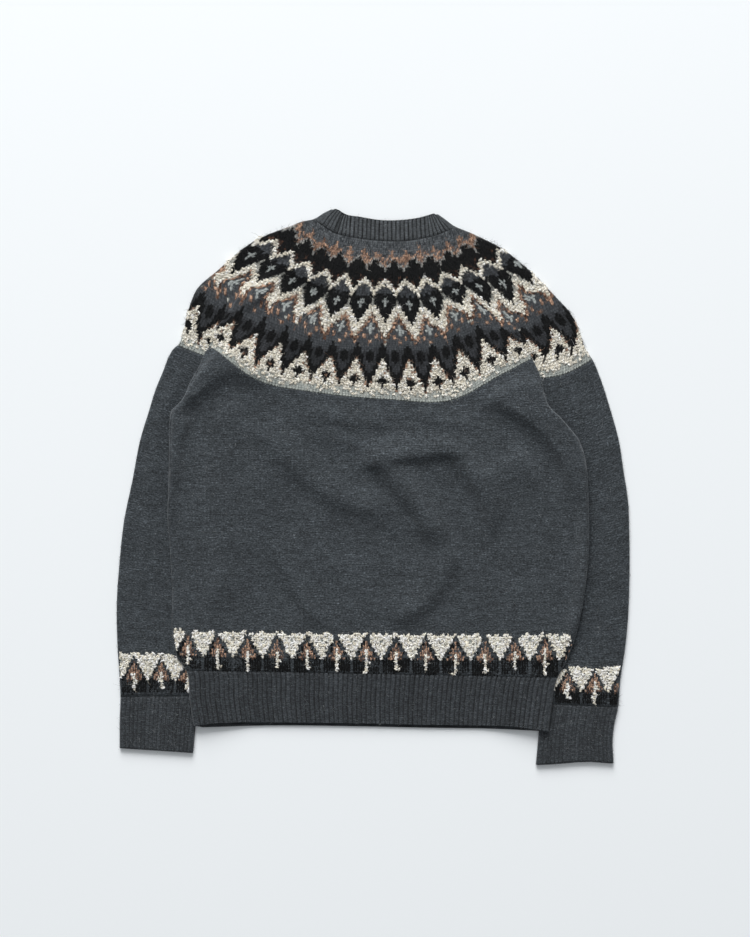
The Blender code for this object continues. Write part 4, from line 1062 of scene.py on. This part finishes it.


def curls(name, spots, normals, tints, per_spot, size, material, painted_light=1.0, under=0.78):
    """Short arched loops of uneven yarn, scattered over the stitches."""
    count = int(len(spots) * per_spot)
    pick = chance.integers(0, len(spots), count)
    n = normals[pick]
    middle = spots[pick] + chance.normal(0, 0.7, (count, 3)) * np.array([1, 1, 0.25])
    flat = any_way(n)
    other = np.cross(n, flat)
    radius = size * np.exp(chance.normal(0, 0.25, count))
    half = radius * chance.uniform(1.3, 3.2, count)
    bend = half * chance.normal(0, 0.5, count)
    rise = radius * chance.uniform(0.2, 1.1, count)
    points, shade = [], []
    for t, thick in CURL:
        line = (middle + flat * (half * t)[:, None] + other * (bend * (t * t - 0.4))[:, None]
                + n * (rise * (1 - t * t))[:, None])
        if not thick:
            points.append(line)
            shade.append(CURL_END)
            continue
        # Painted light on the curl's top, painted shade on its two lower sides (under) and at its ends
        for up, beside_it, light in ((1.0, 0.0, CURL_TOP), (-0.5, 0.87, under), (-0.5, -0.87, under)):
            points.append(line + (n * up + other * beside_it) * (radius * thick)[:, None])
            shade.append(light)
    cell = []
    for k in range(3):
        m = (k + 1) % 3
        cell += [(0, 1 + m, 1 + k), (10, 7 + k, 7 + m)]
        for base in (1, 4):
            cell += [(base + k, base + m, base + 3 + m), (base + k, base + 3 + m, base + 3 + k)]
    # Painted light: the curls' colour is raised as a whole by this factor
    tint = painted_light * tints[pick] * np.exp(chance.normal(0.05, 0.2, (count, 1)))
    return make(name, gathered(points), copies(cell, count, CURL_POINTS), material,
                colours=shaded(tint, shade, CURL_LIGHTEST))


def hairs(name, spots, normals, tints, count, length, thin, material, rise):
    """Loose fibres: narrow curved ribbons that stand a little off the cloth."""
    pick = chance.integers(0, len(spots), count)
    n = normals[pick]
    flow = any_way(n, 1e-9)
    bend = np.cross(n, flow) * chance.normal(0, 0.5, count)[:, None]
    span = length * np.exp(chance.normal(0, 0.35, count))
    lift = chance.uniform(0.1, 1.0, count) * rise
    points = []
    for share in (0.0, 0.5, 1.0):
        line = (spots[pick] + flow * (span * share)[:, None] + bend * (span * share ** 2 * 0.6)[:, None]
                + n * (0.3 + span * lift * math.sin(share * 2.4))[:, None])
        direction = flow + bend * 1.2 * share
        side = unit(np.cross(np.array([0.0, 0.0, 1.0]) * 0.8 + n * 0.4, direction), 1e-9)
        width = thin * (1 - 0.75 * share) / 2
        points += [line - side * width, line + side * width]
    cell = [(2 * k, 2 * k + 1, 2 * k + 3, 2 * k + 2) for k in range(2)]
    tint = tints[pick] * np.exp(chance.normal(0, 0.15, (count, 1)))
    return make(name, gathered(points), copies(cell, count, len(points)), material,
                colours=shaded(tint, np.ones(len(points))))


# ---------------------------------------------------------------- materials
class Finish:
    """A Principled material and short ways to add nodes to it."""

    def __init__(self, name, roughness=0.9, sheen=0.25, sheen_tint=(0.8, 0.85, 0.9), specular=0.25):
        self.material = bpy.data.materials.new(name)
        self.material.use_nodes = True
        self.tree = self.material.node_tree
        self.shader = self.tree.nodes["Principled BSDF"]
        for socket, value in (("Roughness", roughness), ("Sheen Weight", sheen), ("Sheen Roughness", 0.5),
                              ("Sheen Tint", (*sheen_tint, 1.0)), ("Specular IOR Level", specular)):
            self.shader.inputs[socket].default_value = value

    def node(self, kind, *values, **settings):
        """A new node, its inputs linked or set to these values in turn."""
        made = self.tree.nodes.new(kind)
        for key, value in settings.items():
            setattr(made, key, value)
        for socket, value in zip(made.inputs, values):
            if isinstance(value, bpy.types.NodeSocket):
                self.tree.links.new(value, socket)
            elif value is not None:
                socket.default_value = value
        return made

    def math(self, operation, *values):
        return self.node("ShaderNodeMath", *values, operation=operation).outputs[0]

    def noise(self, u, v, seed, detail=2.0):
        """Noise on the map."""
        vector = self.node("ShaderNodeCombineXYZ", u, v, seed).outputs[0]
        return self.node("ShaderNodeTexNoise", vector, None, 1.0, detail).outputs[0]

    def wire(self, output, socket):
        """Links an output to the Principled shader's socket."""
        self.tree.links.new(output, self.shader.inputs[socket])

    def relief(self, height, strength, distance):
        """Relief without any change of the mesh."""
        bump = self.node("ShaderNodeBump")
        bump.inputs["Strength"].default_value = strength
        bump.inputs["Distance"].default_value = distance
        self.tree.links.new(height, bump.inputs["Height"])
        self.wire(bump.outputs[0], "Normal")

    def tint(self, level, colour=None):
        """The yarn's colour, lighter and darker with the level; without a colour it comes with the mesh."""
        tinted = self.node("ShaderNodeMix", data_type="RGBA", blend_type="MULTIPLY", clamp_result=True)
        tinted.inputs[0].default_value = 1.0
        if colour is None:
            base = self.node("ShaderNodeAttribute", attribute_name="yarn").outputs["Color"]
            self.tree.links.new(base, tinted.inputs[6])
        else:
            tinted.inputs[6].default_value = (*colour, 1.0)
        grey = self.node("ShaderNodeCombineColor", level, level, level).outputs[0]
        self.tree.links.new(grey, tinted.inputs[7])
        self.wire(tinted.outputs[2], "Base Color")


KNIT_ROUGHNESS, KNIT_RELIEF, KNIT_DEPTH, FIBRE_DEPTH = 0.92, 0.5, 0.0009, 0.0004
FIBRE_SIZE = 900.0     # fibres to a metre, in the yarns' finish
# Dark and light fibres spun together, as frequencies across and along, seed, detail and weight: short
# dashes along the rows, single stitches, and clouds
MELANGE = ((0.12, 0.55, 1.0, 3.0, 3.4), (0.40, 0.62, 2.0, 3.0, 6.0), (0.05, 0.16, 6.0, 2.0, 1.6),
           (0.018, 0.028, 4.0, 1.0, 0.7))


def knit(name, colour, wale, row, contrast=1.0, sway=4.0):
    """Fine knitting in melange yarn, on a map in millimetres; without a colour it takes the mesh's own."""
    f = Finish(name, roughness=KNIT_ROUGHNESS)
    place = f.node("ShaderNodeSeparateXYZ", f.node("ShaderNodeUVMap", uv_map="knit").outputs[0])
    u, v = place.outputs[0], place.outputs[1]
    swayed = u
    if sway:
        wobble = f.noise(f.math("MULTIPLY", u, 0.03), f.math("MULTIPLY", v, 0.03), 3.0)
        swayed = f.math("MULTIPLY_ADD", wobble, sway, u)
    part = f.math("FRACT", f.math("DIVIDE", swayed, wale))
    a = f.math("MULTIPLY", f.math("ABSOLUTE", f.math("SUBTRACT", part, 0.5)), 2.0)
    rounded = f.math("SINE", f.math("MULTIPLY", a, math.pi))
    turn_at = f.math("SUBTRACT", f.math("DIVIDE", v, row), f.math("MULTIPLY", a, 0.55))
    rope = f.math("COSINE", f.math("MULTIPLY", turn_at, 2 * math.pi))
    height = f.math("MULTIPLY", rounded, f.math("MULTIPLY_ADD", rope, 0.35, 0.65))
    fuzz = f.noise(f.math("MULTIPLY", u, 1.4), f.math("MULTIPLY", v, 1.4), 5.0)
    f.relief(f.math("MULTIPLY_ADD", fuzz, 0.8, height), KNIT_RELIEF, KNIT_DEPTH)
    mix = 0.0
    for across, along_it, seed, detail, weight in MELANGE:
        field = f.noise(f.math("MULTIPLY", u, across), f.math("MULTIPLY", v, along_it), seed, detail)
        mix = f.math("MULTIPLY_ADD", f.math("SUBTRACT", field, 0.5), weight * contrast, mix)
    # Painted shade and light across each wale: lighter where each stitch leg is highest, darker between the
    # legs
    painted_wale_shade = f.math("MULTIPLY_ADD", rounded, 0.16, 0.88)
    f.tint(f.math("MULTIPLY", f.math("POWER", 2.0, mix), painted_wale_shade), colour)
    return f.material


def yarn_finish(name, roughness, sheen, tint, relief=0.35, specular=0.25):
    """Spun yarn: its colour comes with the stitches, its fibres are a fine uneven relief."""
    f = Finish(name, roughness, sheen, tint, specular)
    where = f.node("ShaderNodeTexCoord").outputs["Object"]
    fibre = f.node("ShaderNodeTexNoise", where, None, FIBRE_SIZE, 3.0).outputs[0]
    f.tint(f.math("MULTIPLY_ADD", fibre, 1.1, 0.45))
    f.relief(fibre, relief, FIBRE_DEPTH)
    return f.material


BODY_MIX, SLEEVE_MIX = linear(58, 63, 67), linear(56, 61, 65)
HEM_MIX, CUFF_MIX, NECK_MIX = linear(52, 56, 59.5), linear(53, 57, 60.5), linear(70, 74, 77)
HEM_WALE, CUFF_WALE, NECK_WALE = 6.3, 5.8, 5.4
body_knit = knit("body_knit", BODY_MIX, 3.74, 2.9)
sleeve_knit = knit("sleeve_knit", SLEEVE_MIX, 3.74, 2.9)
hem_knit = knit("hem_knit", None, HEM_WALE, 2.6, contrast=0.85, sway=0)
cuff_knit = knit("cuff_knit", None, CUFF_WALE, 2.6, contrast=0.9, sway=0)
neck_knit = knit("neck_knit", None, NECK_WALE, 2.6, contrast=0.6, sway=0)
yoke_knit = knit("yoke_knit", None, 3.4, 2.9, contrast=0.6)
smooth_yarn = yarn_finish("smooth_yarn", 0.9, 0.25, (0.8, 0.85, 0.9))
mohair_yarn = yarn_finish("mohair_yarn", 0.9, 0.02, (0.5, 0.5, 0.52), specular=0.08)
boucle_yarn = yarn_finish("boucle_yarn", 0.95, 0.2, (1.0, 0.98, 0.95), relief=0.5)
tweed_yarn = yarn_finish("tweed_yarn", 0.92, 0.2, (1.0, 0.85, 0.75))
fibre_finish = yarn_finish("fibre", 0.8, 0.0, (1, 1, 1), relief=0.0)

# ---------------------------------------------------------------- maps, ribs and bands
EDGE_COLUMNS = 16        # columns beside each folded edge on which the map follows the cloth
BROAD_WAVE, SMALL_WAVE = 46, 17              # sizes of the cloth's unevenness
GROOVE, GROOVE_DEEP, CREST_RISE = 0.2, 1.15, 0.5     # a rib's groove: width in ribs, depth; and its crest
PINCH, PINCH_SINK, PINCH_SHADE = 1.8, 0.7, 0.45      # the ribs sink and take painted shade this near to their seam
END_LIGHT = 1.12         # the last two rows at the ribs' free end are lighter
BAND_HIGH = 56           # no stitch of a band is higher than this above its lower edge


def draped(middle):
    """The plan as a map in millimetres, but measured along the cloth where it turns down at its two sides."""
    plan = middle[..., :2].copy()
    run = np.linalg.norm(np.diff(middle, axis=1), axis=2)
    plan[:, -EDGE_COLUMNS:, 0] = (plan[:, -EDGE_COLUMNS - 1, 0][:, None]
                                  + np.cumsum(run[:, -EDGE_COLUMNS:], axis=1))
    plan[:, :EDGE_COLUMNS, 0] = (plan[:, EDGE_COLUMNS, 0][:, None]
                                 - np.cumsum(run[:, :EDGE_COLUMNS][:, ::-1], axis=1)[:, ::-1])
    return plan


def fine(grid, seed):
    """Slight unevenness of hand-finished knitting, away from the underside."""
    middle, normal = grid
    x, y = middle[..., 0], middle[..., 1]
    field = waves(x, y, seed, BROAD_WAVE) + 0.5 * waves(x, y, seed + 1, SMALL_WAVE)
    return UNEVEN * field * np.clip(normal[..., 2], 0, 1)


def ribbed(loops, columns, steps_each, wale, mix, tall, dark, seam_row, tight):
    """Relief, map and colours of a ribbed tube: broad crests with painted light, narrow grooves with painted
    shade, on its upper wall.
    """
    raised = np.zeros(loops.shape[:2])
    x = np.arange(1, columns) / steps_each / 2
    groove = np.exp(-((x - np.round(x)) / GROOVE) ** 2)
    raised[:, TURNED + 1:TURNED + columns] = (tall * (CREST_RISE - GROOVE_DEEP * groove))[None]
    shade = np.ones(loops.shape[:2])
    lean = 1 + 0.10 * np.sin(np.round(x - 0.5) * 2.3) + 0.08 * np.sin(np.round(x - 0.5) * 5.7)
    uneven = 1 + 0.35 * waves(x[None] * 9, np.arange(len(loops))[:, None], 9, 8)
    # Painted shade in the grooves and painted light on the crests; lean is each rib's own tone
    shade[:, TURNED + 1:TURNED + columns] = lean * (1 + 0.1 * dark - dark * groove * uneven)
    middle = loops[:, TURNED + columns // 2]
    from_seam = lengths(middle)
    from_seam = from_seam if seam_row == 0 else from_seam[-1] - from_seam
    pinch = np.exp(-(from_seam / PINCH) ** 2)[:, None]
    raised = raised - PINCH_SINK * tight * pinch * (raised != 0)
    # Painted shade along the seam where the ribs pinch in
    shade = shade * (1 - PINCH_SHADE * tight * pinch)
    shade[(0, 1) if seam_row else (-1, -2), :] *= END_LIGHT
    across = np.arange(loops.shape[1] + 1) - TURNED
    u = np.broadcast_to(across / steps_each / 2 * wale, (loops.shape[0], loops.shape[1] + 1))
    v = np.broadcast_to(lengths(middle)[:, None], u.shape)
    return raised, np.stack([u, v], axis=-1), shade[..., None] * mix


def arcs(loops):
    """A map in millimetres: across along each loop, and down along the rows."""
    across = around(loops)
    down = lengths(loops[:, across.shape[1] // 4])
    return np.stack([across, np.broadcast_to(down[:, None], across.shape)], axis=-1)


def band(grid, columns, width, motif, rise, short, count=12):
    """The stitches of one band, in these columns of the grid; `count` stitches make one repeat."""
    points, normal = grid
    points, normal = points[:, columns], normal[:, columns]
    skin = Skin(points + normal * WALL / 2, normal, lengths(points[:, points.shape[1] // 2]), points[..., 0])
    height = BAND_ROW / 2
    while height < BAND_HIGH + rise:
        _, _, left_end, right_end = skin.at(height, np.zeros(1))
        numbers = np.arange(math.ceil((left_end - motif) / width * count) - 1,
                            math.floor((right_end - motif) / width * count) + 2)
        places = motif + numbers * width / count
        codes = band_chart(height - rise, places - motif, width, steps(places, short))
        band_stitches.row(skin, height, BAND_ROW, places, places, width / count, codes, up=-1.0)
        height += BAND_ROW


def scattered(grid, count, columns):
    """Random places and normals on the outside of a wall, between two of its columns."""
    middle, normal = grid
    row = chance.uniform(0, len(middle) - 1.001, count)
    column = chance.uniform(columns[0], columns[1] - 1.001, count)
    j, i = row.astype(int), column.astype(int)
    a, b = (row - j)[:, None], (column - i)[:, None]
    found = []
    for source in (middle, normal):
        found.append((1 - a) * ((1 - b) * source[j, i] + b * source[j, i + 1])
                     + a * ((1 - b) * source[j + 1, i] + b * source[j + 1, i + 1]))
    found[1] = unit(found[1])
    return found[0] + found[1] * WALL / 2, found[1]


# ---------------------------------------------------------------- the sweater
YOKE_DEEP = 209.0        # mm from the neck seam to the yoke's edge at the centre back
CREAM_GROUND, DARK_GROUND = 0.75, 0.5      # painted shade: the yoke's cloth, seen between the stitches, is this much darker than they are
# Ribs: rise, painted shade of their grooves, the row of their seam, and how much it pinches them
HEM_RELIEF, CUFF_RELIEF, NECK_RELIEF = (1.5, 0.62, -1, 0.15), (0.9, 0.36, -1, 0.1), (1.7, 1.0, 0, 1.0)
NECK_PLAIN = 0.05        # share of the neckband without ribs at each corner
JOIN_STEP, JOIN_RISE, JOIN_SHADE = 0.01, 1.5, 0.6       # its lapped end: width of the step, rise, painted shade along the join
rings, depths, yoke_loops, yoke_normal, top_columns = yoke_grid()
round_it = around(yoke_loops)
centre = (TURNED + CAP_COLUMNS + 2 * (TURN_STEPS + 1) - 1
          + np.interp(RING_SHARES[3], SPREAD, np.arange(BACK_COLUMNS + 1)))
at_centre = np.array([np.interp(centre, np.arange(row.size), row) for row in round_it])
arc = round_it - at_centre[:, None]
shown = TURNED + top_columns + TURNED       # the columns from the left turn to the right turn
yoke_skin = Skin(yoke_loops[:, :shown] + yoke_normal[:, :shown] * WALL / 2, yoke_normal[:, :shown],
                 depths * YOKE_DEEP, arc[:, :shown])
grounds = np.zeros((*yoke_loops.shape[:2], 3))
for j, d in enumerate(depths):
    t = d * YOKE_DEEP
    codes = yoke_chart(t, arc[j, :-1])
    grounds[j] = COLOURS[codes]
    # Painted shade in the gaps between the stitches
    grounds[j, :shown] *= np.where(codes == CREAM, CREAM_GROUND, DARK_GROUND)[:shown, None]
yoke = shell("yoke_cloth", (yoke_loops, yoke_normal), yoke_knit,
             uv=np.stack([arc, np.broadcast_to(-depths[:, None] * YOKE_DEEP, arc.shape)], axis=-1),
             colours=grounds)
edge = rings[-1]
seam_line, back_grid, front_grid = body_grids(edge)
back = shell("back_cloth", back_grid, body_knit, closed=False, raised=fine(back_grid, 1),
             uv=draped(back_grid[0]))
front = shell("front_cloth", front_grid, body_knit, closed=False, uv=front_grid[0][..., :2])
hem_loops, hem_normal, hem_columns = hem_grid(seam_line)
raised, plan_map, colours = ribbed(hem_loops, hem_columns, RIB_STEPS, HEM_WALE, HEM_MIX * 1.04, *HEM_RELIEF)
hem = shell("hem_cloth", (hem_loops, hem_normal), hem_knit, raised=raised, uv=plan_map, colours=colours)
arm_grids, cuff_grids, arms, cuffs = {}, {}, {}, {}
for side in ("left", "right"):
    arm, (loops, normal, columns) = sleeve_grids(side, edge)
    arm_grids[side], cuff_grids[side] = arm, (loops, normal)
    arms[side] = shell("sleeve_cloth_" + side, arm, sleeve_knit, raised=fine(arm, 5), uv=arcs(arm[0]))
    raised, plan_map, colours = ribbed(loops, columns, RIB_STEPS, CUFF_WALE, CUFF_MIX, *CUFF_RELIEF)
    cuffs[side] = shell("cuff_cloth_" + side, (loops, normal), cuff_knit, raised=raised, uv=plan_map,
                        colours=colours)
neck_loops, neck_normal, neck_columns = neck_grid(rings[0])
raised, plan_map, colours = ribbed(neck_loops, neck_columns, RIB_STEPS + 1, NECK_WALE, NECK_MIX * 1.14,
                                   *NECK_RELIEF)
across = np.clip((np.arange(neck_loops.shape[1]) - TURNED) / neck_columns, 0, 1)
lap = ease((NECK_JOIN - across) / JOIN_STEP)
plain = ease(across / NECK_PLAIN) * ease((1 - across) / NECK_PLAIN)
plain *= 1 - 0.55 * lap
raised = raised * plain + JOIN_RISE * lap * ease(across / NECK_PLAIN)
# Painted shade in the crease where the lapped end meets the band
join = 1 - JOIN_SHADE * np.exp(-((across - NECK_JOIN - 0.002) / 0.008) ** 2)
colours = (NECK_MIX + (colours - NECK_MIX) * plain[None, :, None]) * join[None, :, None]
neck = shell("neck_cloth", (neck_loops, neck_normal), neck_knit, raised=raised, uv=plan_map,
             colours=colours)

# Stitches of the yoke, row by row
yoke_stitches = Stitches()
# From and to which depth, the repeat that the rows keep to, its shift, and stitches in one repeat
LATTICE = [(0, 22, PEAKS, 0.5, 6), (22, 72, MOTIFS, 0.0, 8), (72, 136, MOTIFS, 0.0, 10),
           (136, 211, POINTS, POINTS_SHIFT, 10)]
for first, last, table, shift, count in LATTICE:
    t = first + ROW / 2
    while t < min(last, YOKE_DEEP):
        low_t, high_t = min(t + FOOT * ROW, YOKE_DEEP), max(t - TIP_UP * ROW, 0)
        width = steps(t, table)
        across = yoke_skin.at(t, np.zeros(1))
        numbers = np.arange(math.ceil((across[2] / width - shift) * count) - 1,
                            math.floor((across[3] / width - shift) * count) + 2)
        phase = numbers / count + shift
        codes = yoke_chart(t, phase * width)
        yoke_stitches.row(yoke_skin, t, ROW, phase * steps(low_t, table), phase * steps(high_t, table),
                          width / count, codes)
        t += ROW

# Stitches of the bands above the hem and the cuffs
band_stitches = Stitches()
first = TURNED - TURNED // 2
# Repeat, place of one motif, height of the band's lower edge, and how much shorter its cream is by place
HEM_BAND = (39.2, -87.1, 0.0, [(-240, 5.0), (-200, 4.0), (-160, 1.6), (110, 1.6), (190, 5.0), (250, 6.0)])
CUFF_BANDS = {"left": (35.8, -279.6, 3.5, [(-300, 2.0), (-240, 2.0)]),
              "right": (35.8, 257.0, 1.0, [(250, 5.0), (330, 5.0)])}
band(back_grid, slice(first, back_grid[0].shape[1] - first), *HEM_BAND)
for side in ("left", "right"):
    band(arm_grids[side], slice(TURNED, TURNED + SLEEVE_COLUMNS + 1), *CUFF_BANDS[side])

# Name, stitches, their yarns, finish, and whether their legs are full
groups = [("yoke_smooth", yoke_stitches, (GREY, SLATE, COLUMN, TIP, SAGE, STAR, SILVER), smooth_yarn, False),
          ("yoke_mohair", yoke_stitches, (BLACK,), mohair_yarn, False),
          ("yoke_tweed", yoke_stitches, (RUST, EMBER), tweed_yarn, True),
          ("yoke_boucle", yoke_stitches, (CREAM,), boucle_yarn, True),
          ("band_mohair", band_stitches, (BLACK,), mohair_yarn, False),
          ("band_tweed", band_stitches, (RUST, EMBER, SAGE), tweed_yarn, True),
          ("band_boucle", band_stitches, (CREAM,), boucle_yarn, True)]
made = {}
for name, source, yarns, finish, full in groups:
    made[name] = source.build(name, yarns, finish, full)
on_yoke = [made[name][0] for name, *_ in groups[:4]]
on_bands = [made[name][0] for name, *_ in groups[4:]]
on_yoke.append(curls("yoke_nubs", *made["yoke_boucle"][1:], 1.5, 0.72, boucle_yarn))
# The band's cream curls are painted lighter (1.26), and their lower sides take less painted shade (0.9)
on_bands.append(curls("band_nubs", *made["band_boucle"][1:], 1.9, 0.72, boucle_yarn, 1.26, 0.9))

# Loose fibres, long on the mohair: number, length, width, painted light that makes them lighter, and how
# steeply they rise
for name, source, number, length, thin, painted_light, rise, group in (
        ("mohair_halo", "yoke_mohair", 12500, 6.0, 0.28, 1.3, 0.28, on_yoke),
        ("smooth_halo", "yoke_smooth", 4000, 4.0, 0.18, 1.15, 0.35, on_yoke),
        ("tweed_halo", "yoke_tweed", 3000, 4.5, 0.22, 1.1, 0.30, on_yoke),
        ("boucle_halo", "yoke_boucle", 3000, 4.0, 0.20, 1.0, 0.35, on_yoke),
        ("band_black_halo", "band_mohair", 4500, 5.5, 0.24, 1.15, 0.30, on_bands),
        ("band_cream_halo", "band_boucle", 2500, 4.0, 0.20, 1.0, 0.35, on_bands)):
    _, spots, normals, tints = made[source]
    group.append(hairs(name, spots, normals, tints * painted_light, number, length, thin, fibre_finish, rise))
# Short fibres on the plain cloth and the ribs
places = [scattered(back_grid, 3000, (0, back_grid[0].shape[1])),
          scattered((hem_loops, hem_normal), 1300, (0, 2 * TURNED + hem_columns)),
          scattered((neck_loops, neck_normal), 350, (0, 2 * TURNED + neck_columns))]
for side in ("left", "right"):
    places.append(scattered(arm_grids[side], 1500, (0, 2 * TURNED + SLEEVE_COLUMNS)))
    places.append(scattered(cuff_grids[side], 450, (0, 2 * TURNED + 2 * CUFF_RIBS * RIB_STEPS)))
spots, normals = (np.concatenate(part) for part in zip(*places))
mix = chance.random((len(spots), 1)) ** 2
fuzz = hairs("wool_fuzz", spots, normals, linear(62, 66, 70) * (1 - mix) + linear(150, 155, 158) * mix,
             len(spots), 3.4, 0.17, fibre_finish, 0.35)

# ---------------------------------------------------------------- the cloths, and the solids they stand for, which are hidden
# Cloth, the solid it stands for, its slot, its flat size in metres, and what else is stated of it
CLOTHS = [
    (yoke, "yoke", "yoke_knit", (1.22, 0.22), {"area": 0.2, "with_pieces": on_yoke}),
    (back, "back_panel", "body_knit", (0.54, 0.47),
     {"area": 0.206, "rests_on": ["front_cloth"], "with_pieces": [*on_bands, fuzz]}),
    (front, "front_panel", "body_knit", (0.54, 0.47), {"area": 0.196}),
    (hem, "hem_rib", "rib_knit", (1.03, 0.07), {}),
    (neck, "neckband", "rib_knit", (0.4, 0.027), {}),
]
for side in ("left", "right"):
    CLOTHS += [(arms[side], "sleeve_" + side, "body_knit", (0.33, 0.46), {"area": 0.122}),
               (cuffs[side], "cuff_" + side, "rib_knit", (0.23, 0.07), {})]
for piece, node, *_ in CLOTHS:
    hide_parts(node)

# ---------------------------------------------------------------- floor, light and camera
FLOOR, FLOOR_HALF = -0.0004, 9       # its height, just below the cloth, and half its width, in metres
PAPER, ROOM, ROOM_LIGHT = (0.905, 0.942, 0.966, 1.0), (0.95, 0.975, 1.0, 1.0), 0.22
# Name, place, width, power and colour of each lamp; both aim at the sweater
LAMPS = [("key", (-1.2, 7.6, 5.0), 7.0, 1045, (1.0, 0.99, 0.98)),
         ("overhead", (0.0, 0.8, 9.0), 9.0, 145, (0.98, 0.99, 1.0))]
CAMERA_PLACE, CAMERA_LENS, CAMERA_SENSOR, CAMERA_FAR = (0.0026, 0.0257, 3.2), 92.9, 36.0, 50


def lamp(name, place, size, power, colour):
    """A round area lamp that shines towards the origin."""
    light = bpy.data.lights.new(name, "AREA")
    light.shape, light.size = "DISK", size
    light.energy, light.color = power, colour
    made_lamp = place_object(name, light)
    made_lamp.location = place
    made_lamp.rotation_euler = (-Vector(place)).to_track_quat("-Z", "Y").to_euler()


floor_mesh = bpy.data.meshes.new("floor")
corners = [(x * FLOOR_HALF, y * FLOOR_HALF, FLOOR) for x, y in ((-1, -1), (1, -1), (1, 1), (-1, 1))]
floor_mesh.from_pydata(corners, [], [(0, 1, 2, 3)])
floor = place_object("floor", floor_mesh)
paper = Finish("paper", roughness=0.95, sheen=0.0)
paper.shader.inputs["Base Color"].default_value = PAPER
floor_mesh.materials.append(paper.material)

world = bpy.data.worlds.new("studio")
bpy.context.scene.world = world
world.use_nodes = True
room = world.node_tree.nodes["Background"]
room.inputs[0].default_value, room.inputs[1].default_value = ROOM, ROOM_LIGHT


for values in LAMPS:
    lamp(*values)

camera = place_object("camera", bpy.data.cameras.new("camera"))
camera.location = CAMERA_PLACE
camera.data.sensor_width, camera.data.lens, camera.data.clip_end = CAMERA_SENSOR, CAMERA_LENS, CAMERA_FAR
bpy.context.scene.camera = camera
bpy.context.scene.view_settings.view_transform = "Standard"
